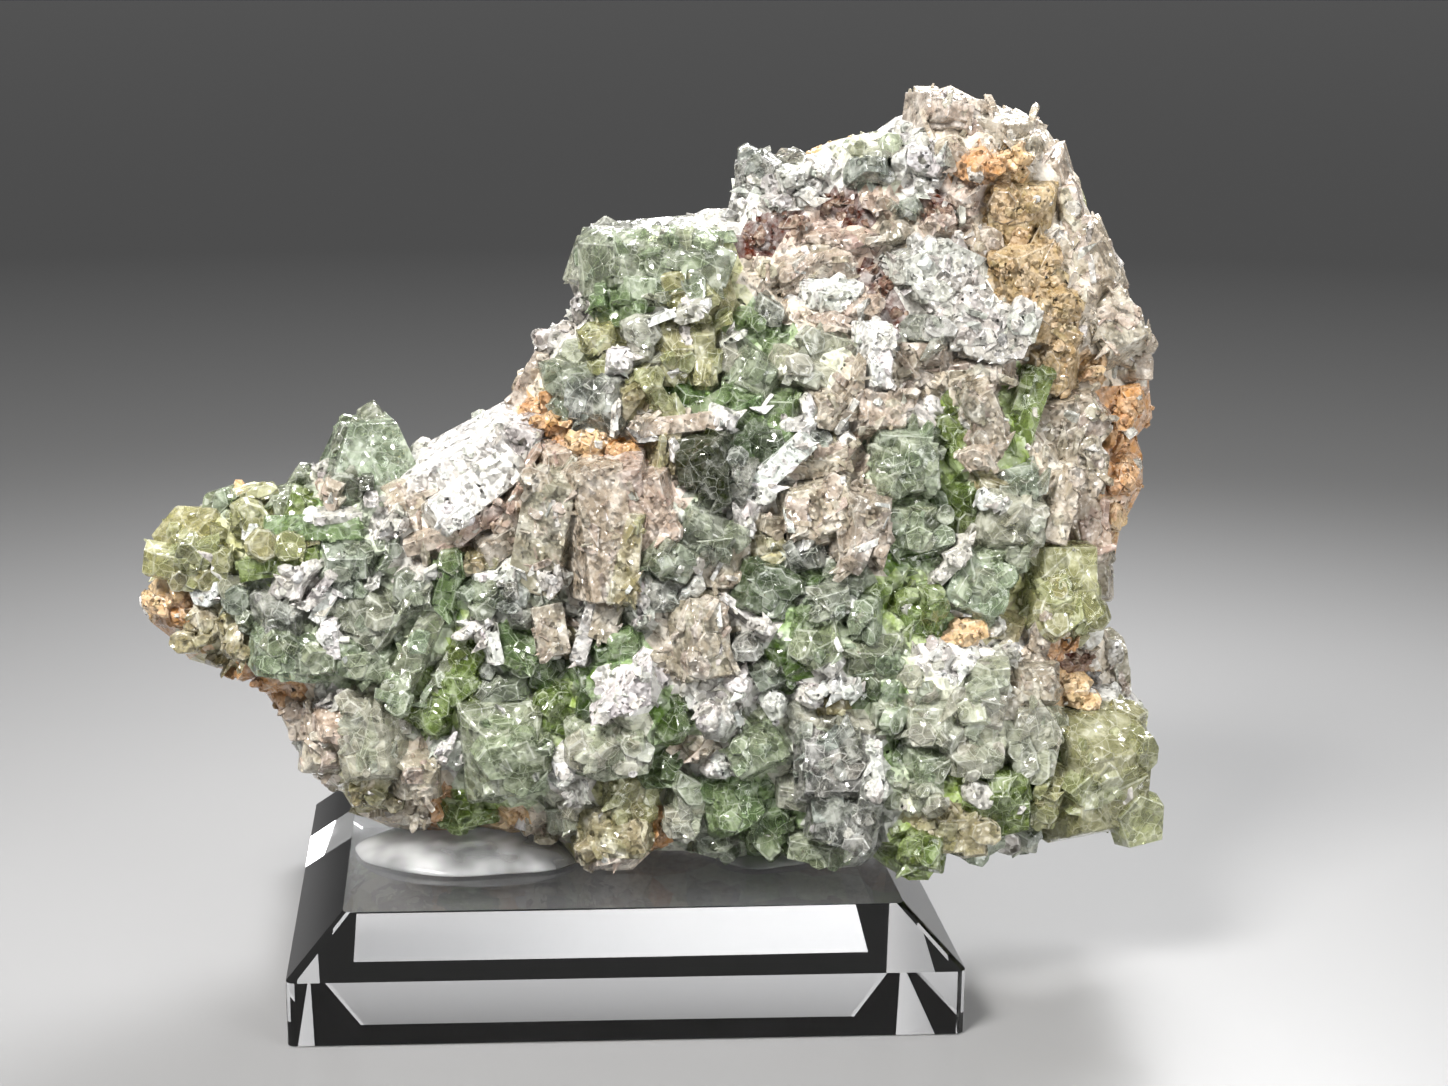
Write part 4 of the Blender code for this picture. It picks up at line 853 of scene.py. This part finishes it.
class Heap:
    """Triangles gathered for one piece, in millimetres."""

    def __init__(self):
        self.points = []
        self.faces = []
        self.colours = []
        self.count = 0

    def add(self, points, faces, colours):
        """Add triangles with one colour and clearness each."""
        self.points.append(points)
        self.faces.append(faces + self.count)
        self.colours.append(colours)
        self.count += len(points)

    def piece(self, name, material, smooth=False):
        """Make the gathered triangles one object."""
        points = np.concatenate(self.points) * MM
        faces = np.concatenate(self.faces)
        colours = np.repeat(np.concatenate(self.colours), 3, axis=0)
        mesh = bpy.data.meshes.new(name)
        mesh.vertices.add(len(points))
        mesh.vertices.foreach_set("co", points.astype(np.float32).ravel())
        mesh.loops.add(faces.size)
        mesh.loops.foreach_set("vertex_index", faces.astype(np.int32).ravel())
        mesh.polygons.add(len(faces))
        mesh.polygons.foreach_set("loop_start", np.arange(0, faces.size, 3, dtype=np.int32))
        mesh.polygons.foreach_set("use_smooth", np.full(len(faces), smooth))
        mesh.update(calc_edges=True)
        tint = mesh.color_attributes.new("tint", "FLOAT_COLOR", "CORNER")
        tint.data.foreach_set("color", colours.astype(np.float32).ravel())
        mesh.materials.append(material)
        thing = bpy.data.objects.new(name, mesh)
        bpy.context.scene.collection.objects.link(thing)
        print(name, len(faces), "triangles")
        return thing


def paint(rim, colour, rng, rim_frost_and_highlight):
    """Colour and clearness of each triangle, whiter on the rims for frosted edges and as a painted highlight
    along them.
    """
    shade = colour.copy()
    shade[:3] *= 1.0 + rng.uniform(-0.1, 0.1)
    shade[:3] = np.clip(shade[:3] * (1.0 + np.array([rng.uniform(-0.05, 0.05) for _ in range(3)])), 0.0, 1.0)
    # Rim colour: frosted edge and painted edge highlight, put on every rim whichever way it faces the light.
    pale = np.array([0.9, 0.92, 0.88, 0.25])
    colours = np.repeat(shade[None, :], len(rim), axis=0)
    colours[rim] = shade * (1.0 - rim_frost_and_highlight) + pale * rim_frost_and_highlight
    return colours


def settled(points):
    """Points kept above the base."""
    points[:, 2] = np.maximum(points[:, 2], FOOT)
    return points


def stepped(rng, row, centre, turn, size):
    """Low parallel steps on a crystal's front face."""
    steps = []
    face = row[3] * row[4]
    for _ in range(min(int(face / 11.0), 6)):
        share_x = rng.uniform(0.25, 0.6)
        share_z = rng.uniform(0.25, 0.6)
        thick = min(0.4 * size.y, 3.0)
        out = rng.uniform(0.1, 0.55)
        shift = Vector((rng.uniform(-0.3, 0.3) * size.x, -0.5 * size.y + 0.5 * thick - out,
                        rng.uniform(-0.3, 0.3) * size.z))
        tip = Matrix.Rotation(rng.gauss(0.0, 0.05), 3, "X") @ Matrix.Rotation(rng.gauss(0.0, 0.06), 3, "Z")
        twist = Matrix.Rotation(rng.gauss(0.0, 0.25), 3, "Y")
        extent = Vector((size.x * share_x, thick, size.z * share_z))
        kind = rng.choice(("plate", "plate", "shard", "block"))
        steps.append((SHAPES[kind][0](rng), centre + turn @ shift, turn @ tip @ twist, extent))
    return steps


def grow_crystals(heaps, surface):
    """Every listed crystal and the steps grown on it."""
    for index, row in enumerate(CRYSTALS):
        rng = random.Random(index * 17 + 3)
        corners, centre, turn, size = crystal_frame(row)
        tone = row[7]
        finish = TONES[tone][4]
        bevel = min(0.14, 0.025 * min(row[3], row[4]))
        blocks = [(corners, centre, turn, size)]
        if row[0] in ("block", "plate", "lump"):
            blocks += stepped(rng, row, centre, turn, size)
        for corners, middle, how, extent in blocks:
            points, faces, rim = crystal_form([middle + how @ (p * extent) for p in corners], bevel)
            colours = paint(rim, tone_colour(tone), rng, rng.uniform(0.0, 0.35))
            heaps[finish].add(settled(points), faces, colours)
            surface.add(points, faces, index, how)


class Surface:
    """Everything that small crystals can grow on."""

    def __init__(self):
        self.points = []
        self.faces = []
        self.owners = []
        self.turns = []
        self.count = 0

    def add(self, points, faces, owner, turn):
        """Add triangles that belong to a listed crystal, or to the rock with owner -1 or -2."""
        self.points.append(points)
        self.faces.append(faces + self.count)
        self.owners += [(owner, len(self.turns))] * len(faces)
        self.turns.append(turn)
        self.count += len(points)

    def tree(self):
        """Search tree over all triangles."""
        return BVHTree.FromPolygons(np.concatenate(self.points).tolist(), np.concatenate(self.faces).tolist())


def facing(normal, rng):
    """Turn that points a crystal's front along a normal, spun at random."""
    return (-normal).to_track_quat("Y", "Z").to_matrix() @ Matrix.Rotation(rng.uniform(0.0, math.tau), 3, "Y")


def prototypes(rng):
    """Unit crystals of every kind, plain and bevelled."""
    made = {}
    for kind, (make, _) in SHAPES.items():
        made[kind] = [crystal_form([p * 1.0 for p in make(rng)], 0.0) for _ in range(VARIANTS)]
        made[kind + "_bevelled"] = [crystal_form([p * 1.0 for p in make(rng)], 0.055)
                                    for _ in range(VARIANTS)]
    return made


def add_grain(heaps, shapes, rng, spot, normal, tone, parent_turn):
    """One small crystal on a surface."""
    finish = TONES[tone][4]
    _, low, high, kinds, white_and_glint_share, tip_most, proud = GRAINS[finish]
    size = low + (high - low) * rng.random() ** 1.8
    kind = rng.choice(kinds)
    if parent_turn is not None and rng.random() < 0.4:
        spin = Matrix.Rotation(rng.gauss(0.0, 0.15), 3, "X") @ Matrix.Rotation(rng.gauss(0.0, 0.3), 3, "Y")
        turn = parent_turn @ spin @ Matrix.Rotation(rng.gauss(0.0, 0.15), 3, "Z")
    else:
        tip = Matrix.Rotation(rng.gauss(0.0, tip_most), 3, "X")
        tip = tip @ Matrix.Rotation(rng.gauss(0.0, tip_most), 3, "Z")
        turn = facing(normal, rng) @ tip
    extent = np.array({"blade": (0.4, 0.4, 1.7), "plate": (1.0, 0.4, 1.0),
                       "shard": (1.0, 0.4, 1.2)}.get(kind, (1.0, 0.7, 1.0)))
    extent = extent * size * np.array([1.0, 1.0, rng.uniform(0.8, 1.5)])
    # Some small crystals are made white: partly real frost, partly painted glints.
    if rng.random() < white_and_glint_share:
        tone = rng.choice(("white", "frost"))
        finish = "frost"
    bevelled = size > 2.2
    points, faces, rim = rng.choice(shapes[kind + "_bevelled" if bevelled else kind])
    sunk = extent[1] * (0.5 - proud * rng.uniform(0.3, 1.0))
    middle = np.array(spot - normal * sunk)
    points = (points * extent) @ np.array(turn).T + middle
    heaps[finish].add(settled(points), faces, paint(rim, tone_colour(tone), rng, rng.uniform(0.0, 0.4)))


def sow_front(heaps, shapes, tree, surface):
    """Small crystals over everything that shows from the front."""
    rng = random.Random(GRAIN_SEED)
    eye = Vector(EYE)
    made = 0
    for _ in range(FRONT_TRIES):
        across = rng.uniform(-66.0, 77.5)
        up = rng.uniform(10.0, 122.0)
        if not inside(across, up):
            continue
        aim = (place(across, up, 0.0) - eye).normalized()
        spot, normal, face, _ = tree.ray_cast(eye, aim)
        if spot is None:
            continue
        owner, turn_index = surface.owners[face]
        tone = CRYSTALS[owner][7] if owner >= 0 else nearest_tone(across, up)
        if rng.random() > GRAINS[TONES[tone][4]][0]:
            continue
        add_grain(heaps, shapes, rng, spot, normal, tone, surface.turns[turn_index])
        made += 1
    print("front grains", made)


def sow_sides(heaps, shapes, tree, surface):
    """Small crystals over the back, the sides and the top."""
    rng = random.Random(GRAIN_SEED + 1)
    eye = Vector(EYE)
    made = 0
    for _ in range(SIDE_TRIES):
        turn = rng.uniform(0.0, math.tau)
        lift = rng.uniform(-0.35, 0.9)
        aim = Vector((math.cos(turn) * math.cos(lift), math.sin(turn) * math.cos(lift), -math.sin(lift)))
        target = Vector((rng.uniform(-64.0, 76.0), rng.uniform(-20.0, 22.0), rng.uniform(12.0, 120.0)))
        spot, normal, face, _ = tree.ray_cast(target - aim * 300.0, aim)
        if spot is None or spot.z < FOOT + 0.3:
            continue
        seen = normal.dot((eye - spot).normalized())
        if seen > 0.3:
            continue
        owner, turn_index = surface.owners[face]
        if owner >= 0:
            tone = CRYSTALS[owner][7]
        elif owner == -1 and seen > -0.2:
            tone = nearest_tone(*across_up(spot))
        else:
            tone = back_tone(spot)
        if rng.random() > GRAINS[TONES[tone][4]][0] * 0.8:
            continue
        add_grain(heaps, shapes, rng, spot, normal, tone, surface.turns[turn_index])
        made += 1
    print("side grains", made)


def grow_back(heaps, surface):
    """Lumps and blocks on the back."""
    for number, (corners, centre, turn, size) in enumerate(back_crystals()):
        rng = random.Random(number + 900)
        tone = back_tone(centre)
        points, faces, rim = crystal_form([centre + turn @ (p * size) for p in corners], 0.3)
        heaps[TONES[tone][4]].add(settled(points), faces, paint(rim, tone_colour(tone), rng, 0.4))
        surface.add(points, faces, -2, turn)


def rock_colours(points, faces):
    """Colour and clearness of each of the rock's triangles."""
    colours = np.zeros((len(faces), 4))
    middles = points[faces].mean(axis=1)
    for index, middle in enumerate(middles):
        across, up = across_up(middle)
        behind = middle[1] - blend(EDGE_AT, across, up)[0]
        tone = nearest_tone(across, up) if behind < 1.5 else back_tone(middle)
        colours[index] = tone_colour(tone)
        colours[index][:3] *= 1.0 + 0.3 * noise.noise(Vector(middle) * 0.4)
    return colours


class Surfacing:
    """A material under construction."""

    def __init__(self, name):
        self.material = bpy.data.materials.new(name)
        self.material.use_nodes = True
        self.tree = self.material.node_tree
        self.shader = self.tree.nodes["Principled BSDF"]
        self.where = self.tree.nodes.new("ShaderNodeTexCoord").outputs["Object"]

    def node(self, kind, inputs=None, **settings):
        """Add a node; an input is a value or another node's output."""
        made = self.tree.nodes.new("ShaderNode" + kind)
        for key, value in settings.items():
            setattr(made, key, value)
        for key, value in (inputs or {}).items():
            self.feed(made.inputs[key], value)
        return made

    def feed(self, socket, value):
        """Give a socket a value or a link."""
        if isinstance(value, bpy.types.NodeSocket):
            self.tree.links.new(value, socket)
        else:
            socket.default_value = value

    def set(self, **values):
        """Set sockets of the shader, named with underscores for spaces."""
        for key, value in values.items():
            self.feed(self.shader.inputs[key.replace("_", " ")], value)

    def tint(self):
        """Colour and clearness painted on the mesh."""
        made = self.node("Attribute", attribute_name="tint")
        return made.outputs["Color"], made.outputs["Alpha"]

    def noise(self, scale, detail=3.0, rough=0.55, warp=0.0):
        """Noise value about scale times a metre."""
        made = self.node("TexNoise", {"Vector": self.where, "Scale": scale, "Detail": detail,
                                      "Roughness": rough, "Distortion": warp})
        return made.outputs["Fac"]

    def cells(self, scale, feature="F1"):
        """Distance to the nearest cell middle or edge."""
        made = self.node("TexVoronoi", {"Vector": self.where, "Scale": scale}, feature=feature)
        return made.outputs["Distance"]

    def ramp(self, value, low, high, start=0.0, end=1.0):
        """Value mapped from low..high to start..end."""
        made = self.node("MapRange", {"Value": value, "From Min": low, "From Max": high,
                                      "To Min": start, "To Max": end})
        return made.outputs["Result"]

    def mix(self, share, first, second, blend_type="MIX"):
        """Two colours mixed."""
        made = self.node("Mix", data_type="RGBA", blend_type=blend_type)
        self.feed(made.inputs[0], share)
        self.feed(made.inputs[6], first)
        self.feed(made.inputs[7], second)
        return made.outputs[2]

    def maths(self, how, first, second):
        """Two numbers put together."""
        made = self.node("Math", operation=how)
        self.feed(made.inputs[0], first)
        self.feed(made.inputs[1], second)
        return made.outputs[0]

    def facets(self, layers):
        """Normal broken into cells that each tilt their own way; layers are (cells a metre, tilt)."""
        bent = self.node("NewGeometry").outputs["Normal"]
        drift = self.node("TexNoise", {"Vector": self.where, "Scale": 350.0, "Detail": 2.0}).outputs["Color"]
        for scale, tilt in layers:
            shift = self.node("VectorMath", {0: drift, 1: (0.5 / scale,) * 3}, operation="MULTIPLY")
            spot = self.node("VectorMath", {0: self.where, 1: shift.outputs[0]}, operation="ADD")
            cell = self.node("TexVoronoi", {"Vector": spot.outputs[0], "Scale": scale}).outputs["Color"]
            even = self.node("VectorMath", {0: cell, 1: (0.5, 0.5, 0.5)}, operation="SUBTRACT")
            lean = self.node("VectorMath", {0: even.outputs[0], "Scale": tilt * 2.0}, operation="SCALE")
            bent = self.node("VectorMath", {0: bent, 1: lean.outputs[0]}, operation="ADD").outputs[0]
        return self.node("VectorMath", {0: bent}, operation="NORMALIZE").outputs[0]

    def seams(self, scale, width):
        """Thin lines between the cells of the same size."""
        drift = self.node("TexNoise", {"Vector": self.where, "Scale": 350.0, "Detail": 2.0}).outputs["Color"]
        shift = self.node("VectorMath", {0: drift, 1: (0.5 / scale,) * 3}, operation="MULTIPLY")
        spot = self.node("VectorMath", {0: self.where, 1: shift.outputs[0]}, operation="ADD")
        cell = self.node("TexVoronoi", {"Vector": spot.outputs[0], "Scale": scale},
                         feature="DISTANCE_TO_EDGE")
        return self.ramp(cell.outputs["Distance"], 0.0, width, 1.0, 0.0)

    def bump(self, height, strength, distance, below=None):
        """Bumped normal."""
        made = self.node("Bump", {"Height": height, "Strength": strength, "Distance": distance})
        if below is not None:
            self.feed(made.inputs["Normal"], below)
        return made.outputs["Normal"]


WHITE = (0.86, 0.86, 0.83, 1.0)


def apophyllite_material():
    """Clear to milky green crystal with veils, broken facets and small brown specks."""
    make = Surfacing("apophyllite")
    colour, clear = make.tint()
    veil = make.ramp(make.noise(300.0, 5.0, 0.65, 0.8), 0.44, 0.64)
    colour = make.mix(make.maths("MULTIPLY", veil, 0.30), colour, WHITE)
    speck = make.ramp(make.noise(1500.0, 1.0), 0.74, 0.78)
    colour = make.mix(make.maths("MULTIPLY", speck, 0.6), colour, (0.16, 0.09, 0.03, 1.0))
    seam = make.seams(520.0, 0.035)
    colour = make.mix(make.maths("MULTIPLY", seam, 0.35), colour, WHITE)
    milk = make.maths("MAXIMUM", make.maths("MULTIPLY", veil, 0.55), make.maths("MULTIPLY", seam, 0.5))
    transmission = make.maths("MULTIPLY", clear, make.maths("SUBTRACT", 1.0, milk))
    rough = make.ramp(make.noise(420.0, 2.0), 0.35, 0.65, 0.04, 0.26)
    broken = make.facets(((520.0, 0.34), (1500.0, 0.30)))
    make.set(Base_Color=colour, Transmission_Weight=transmission, Roughness=rough, IOR=1.536, Normal=broken,
             Specular_IOR_Level=0.75)
    return make.material


def frost_material():
    """White sugary crystal crust that glitters."""
    make = Surfacing("frost")
    colour, clear = make.tint()
    veil = make.ramp(make.noise(420.0, 4.0), 0.4, 0.62)
    colour = make.mix(make.maths("MULTIPLY", veil, 0.4), colour, WHITE)
    seam = make.seams(900.0, 0.05)
    milk = make.maths("MAXIMUM", make.maths("MULTIPLY", veil, 0.6), make.maths("MULTIPLY", seam, 0.6))
    transmission = make.maths("MULTIPLY", clear, make.maths("SUBTRACT", 1.0, milk))
    rough = make.ramp(make.noise(700.0, 2.0), 0.35, 0.65, 0.05, 0.25)
    broken = make.facets(((900.0, 0.55), (2400.0, 0.5)))
    make.set(Base_Color=colour, Transmission_Weight=transmission, Roughness=rough, IOR=1.536, Normal=broken,
             Specular_IOR_Level=0.9)
    return make.material


def stilbite_material():
    """Pearly cream blades with fine streaks."""
    make = Surfacing("stilbite")
    colour, clear = make.tint()
    patch = make.ramp(make.noise(240.0, 4.0), 0.4, 0.66)
    colour = make.mix(make.maths("MULTIPLY", patch, 0.3), colour, (0.74, 0.60, 0.47, 1.0))
    veil = make.ramp(make.noise(420.0, 3.0), 0.45, 0.65)
    colour = make.mix(make.maths("MULTIPLY", veil, 0.35), colour, WHITE)
    open_share = make.maths("SUBTRACT", 1.0, make.maths("MULTIPLY", veil, 0.7))
    transmission = make.maths("MULTIPLY", clear, open_share)
    rough = make.ramp(make.noise(600.0, 2.0), 0.3, 0.7, 0.10, 0.35)
    broken = make.facets(((750.0, 0.42), (2100.0, 0.45)))
    make.set(Base_Color=colour, Transmission_Weight=transmission, Roughness=rough, IOR=1.5, Normal=broken,
             Specular_IOR_Level=0.8)
    return make.material


def crust_material(name):
    """Granular tan, amber and brown crust."""
    make = Surfacing(name)
    colour, _ = make.tint()
    grain = make.ramp(make.noise(620.0, 4.0, 0.65), 0.36, 0.66)
    colour = make.mix(make.maths("MULTIPLY", grain, 0.4), colour, (0.86, 0.74, 0.58, 1.0))
    stain = make.ramp(make.noise(300.0, 3.0), 0.58, 0.7)
    colour = make.mix(make.maths("MULTIPLY", stain, 0.35), colour, (0.24, 0.12, 0.05, 1.0))
    rough = make.ramp(make.noise(900.0, 2.0), 0.3, 0.7, 0.15, 0.5)
    broken = make.facets(((1100.0, 0.55), (2600.0, 0.5)))
    make.set(Base_Color=colour, Roughness=rough, IOR=1.5, Normal=broken)
    return make.material


def matrix_material():
    """Milky crystal mass under and between the crystals."""
    make = Surfacing("matrix")
    colour, _ = make.tint()
    veil = make.ramp(make.noise(360.0, 4.0, 0.65), 0.38, 0.66)
    colour = make.mix(make.maths("MULTIPLY", veil, 0.45), colour, WHITE)
    rough = make.ramp(make.noise(700.0, 2.0), 0.3, 0.7, 0.12, 0.4)
    broken = make.facets(((700.0, 0.5), (2000.0, 0.5)))
    make.set(Base_Color=colour, Roughness=rough, IOR=1.53, Normal=broken)
    return make.material


def gel_material():
    """Clear gel, cloudy in patches."""
    make = Surfacing("gel")
    cloud = make.ramp(make.noise(60.0, 3.0), 0.4, 0.62)
    make.set(Base_Color=(0.93, 0.95, 0.97, 1.0), Transmission_Weight=make.ramp(cloud, 0.0, 1.0, 0.95, 0.45),
             Roughness=make.ramp(cloud, 0.0, 1.0, 0.03, 0.12), IOR=1.42,
             Normal=make.bump(make.noise(150.0, 2.0), 0.3, 0.0004),
             Subsurface_Weight=0.6, Subsurface_Radius=(1.0, 1.0, 1.0), Subsurface_Scale=0.003)
    return make.material


def acrylic_material():
    """Clear acrylic with faint polishing marks."""
    make = Surfacing("acrylic")
    marks = make.ramp(make.noise(35.0, 5.0, 0.7), 0.45, 0.75, 0.0, 0.035)
    make.set(Base_Color=(0.985, 0.99, 0.995, 1.0), Transmission_Weight=1.0, Roughness=marks, IOR=1.49)
    return make.material


def floor_material():
    """Pale matt studio floor, with painted shade that darkens it with distance from its middle, standing in
    for the light falling off.
    """
    make = Surfacing("floor")
    mottle = make.noise(3.0, 2.0)
    # Painted shade: the floor darkens from 0.1 m to 1 m out from its middle, standing in for the studio light
    # falling off towards the back.
    far = make.node("VectorMath", {0: make.where}, operation="LENGTH").outputs["Value"]
    near = make.mix(mottle, (0.30, 0.30, 0.305, 1.0), (0.31, 0.31, 0.315, 1.0))
    colour = make.mix(make.ramp(far, 0.1, 1.0), near, (0.07, 0.07, 0.072, 1.0))
    make.set(Base_Color=colour, Roughness=0.28, Specular_IOR_Level=0.35)
    return make.material


def area_light(name, place_at, aim, width, depth, power, colour=(1.0, 1.0, 1.0)):
    """Softbox aimed at a point."""
    data = bpy.data.lights.new(name, "AREA")
    data.shape = "RECTANGLE"
    data.size = width
    data.size_y = depth
    data.energy = power
    data.color = colour
    data.spread = math.radians(SPREAD_ANGLE)
    light = bpy.data.objects.new(name, data)
    light.location = place_at
    light.rotation_euler = (Vector(aim) - Vector(place_at)).to_track_quat("-Z", "Y").to_euler()
    bpy.context.scene.collection.objects.link(light)


def sky():
    """Studio surroundings: dark at eye level, pale overhead."""
    world = bpy.data.worlds.new("world")
    world.use_nodes = True
    tree = world.node_tree
    where = tree.nodes.new("ShaderNodeTexCoord")
    split = tree.nodes.new("ShaderNodeSeparateXYZ")
    level = tree.nodes.new("ShaderNodeMapRange")
    level.inputs["From Min"].default_value = 0.05
    level.inputs["From Max"].default_value = 0.85
    colours = tree.nodes.new("ShaderNodeMix")
    colours.data_type = "RGBA"
    colours.inputs[6].default_value = (0.05, 0.05, 0.052, 1.0)
    colours.inputs[7].default_value = (0.62, 0.62, 0.61, 1.0)
    tree.links.new(where.outputs["Generated"], split.inputs[0])
    tree.links.new(split.outputs["Z"], level.inputs["Value"])
    tree.links.new(level.outputs["Result"], colours.inputs[0])
    tree.links.new(colours.outputs[2], tree.nodes["Background"].inputs["Color"])
    return world


def studio():
    """Camera, lights, world and floor."""
    scene = bpy.context.scene
    data = bpy.data.cameras.new("camera")
    data.sensor_width = CAMERA_SENSOR
    data.lens = CAMERA_LENS
    data.shift_x = CAMERA_SHIFT
    data.clip_start = 0.01
    data.clip_end = 30.0
    camera = bpy.data.objects.new("camera", data)
    camera.location = Vector(EYE) * MM
    camera.rotation_euler = (math.radians(90.0 - CAMERA_PITCH), 0.0, -math.radians(CAMERA_YAW))
    scene.collection.objects.link(camera)
    scene.camera = camera
    area_light("key", (-0.26, -0.34, 0.52), (0.0, 0.0, 0.07), 0.20, 0.20, 1.25, (1.0, 0.98, 0.95))
    area_light("fill", (0.50, -0.50, 0.26), (0.02, 0.0, 0.06), 0.40, 0.40, 0.65)
    area_light("rim", (0.15, 0.36, 0.40), (0.02, 0.0, 0.07), 0.3, 0.25, 1.1)
    scene.world = sky()
    scene.view_settings.view_transform = "Standard"
    scene.cycles.max_bounces = 7
    scene.cycles.diffuse_bounces = 2
    scene.cycles.glossy_bounces = 2
    scene.cycles.transmission_bounces = 7
    scene.cycles.adaptive_threshold = 0.08
    form = bmesh.new()
    bmesh.ops.create_grid(form, x_segments=1, y_segments=1, size=60.0)
    bmesh.ops.translate(form, verts=form.verts, vec=(0.0, 0.0, -0.0002))
    mesh = bpy.data.meshes.new("floor")
    form.to_mesh(mesh)
    form.free()
    mesh.materials.append(floor_material())
    floor = bpy.data.objects.new("floor", mesh)
    scene.collection.objects.link(floor)


def gel_pad(name, node, material):
    """Smooth drop of gel in place of its solid."""
    low, high = (Vector(corner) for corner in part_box(node))
    form = bmesh.new()
    bmesh.ops.create_uvsphere(form, u_segments=96, v_segments=48, radius=1.0)
    middle = (low + high) / 2
    for vert in form.verts:
        vert.co.z = max(vert.co.z, 0.0)
        across, back, up = vert.co
        wave = 1.0 + 0.05 * noise.noise(vert.co * 2.0)
        vert.co.x = middle.x + across * (high.x - low.x) / 2 * wave
        vert.co.y = middle.y + back * (high.y - low.y) / 2 * wave
        vert.co.z = low.z + up * (high.z - low.z)
    bmesh.ops.remove_doubles(form, verts=form.verts, dist=0.00001)
    mesh = bpy.data.meshes.new(name)
    form.to_mesh(mesh)
    form.free()
    mesh.shade_smooth()
    mesh.materials.append(material)
    pad = bpy.data.objects.new(name, mesh)
    bpy.context.scene.collection.objects.link(pad)
    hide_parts(node)
    return pad


def dress_base(frame):
    """Give the CAD base its clear material."""
    base = frame["nodes"]["acrylic_base"]
    for slot in base.material_slots:
        slot.link = "OBJECT"
        slot.material = acrylic_material()


def main():
    """Build the scene."""
    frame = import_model()
    studio()
    surface = Surface()
    points, faces, _ = rock_form()
    rock_heap = Heap()
    rock_heap.add(points, faces, rock_colours(points, faces))
    surface.add(points, faces, -1, None)
    heaps = {"apophyllite": Heap(), "frost": Heap(), "stilbite": Heap(), "crust": Heap()}
    grow_crystals(heaps, surface)
    grow_back(heaps, surface)
    tree = surface.tree()
    shapes = prototypes(random.Random(77))
    sow_front(heaps, shapes, tree, surface)
    sow_sides(heaps, shapes, tree, surface)
    rock = rock_heap.piece("matrix_rock", matrix_material())
    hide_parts("specimen")
    made = {"apophyllite": apophyllite_material(), "frost": frost_material(),
            "stilbite": stilbite_material(), "crust": crust_material("crust")}
    pieces = [rock] + [heap.piece(name + "_crystals", made[name]) for name, heap in heaps.items()]
    gel = gel_material()
    for name, node in (("gel_left", "gel_pad_left"), ("gel_right", "gel_pad_right")):
        pad = gel_pad(name, node, gel)
        pieces.append(pad)
    dress_base(frame)
    for piece in pieces:
        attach(piece, "root")


main()
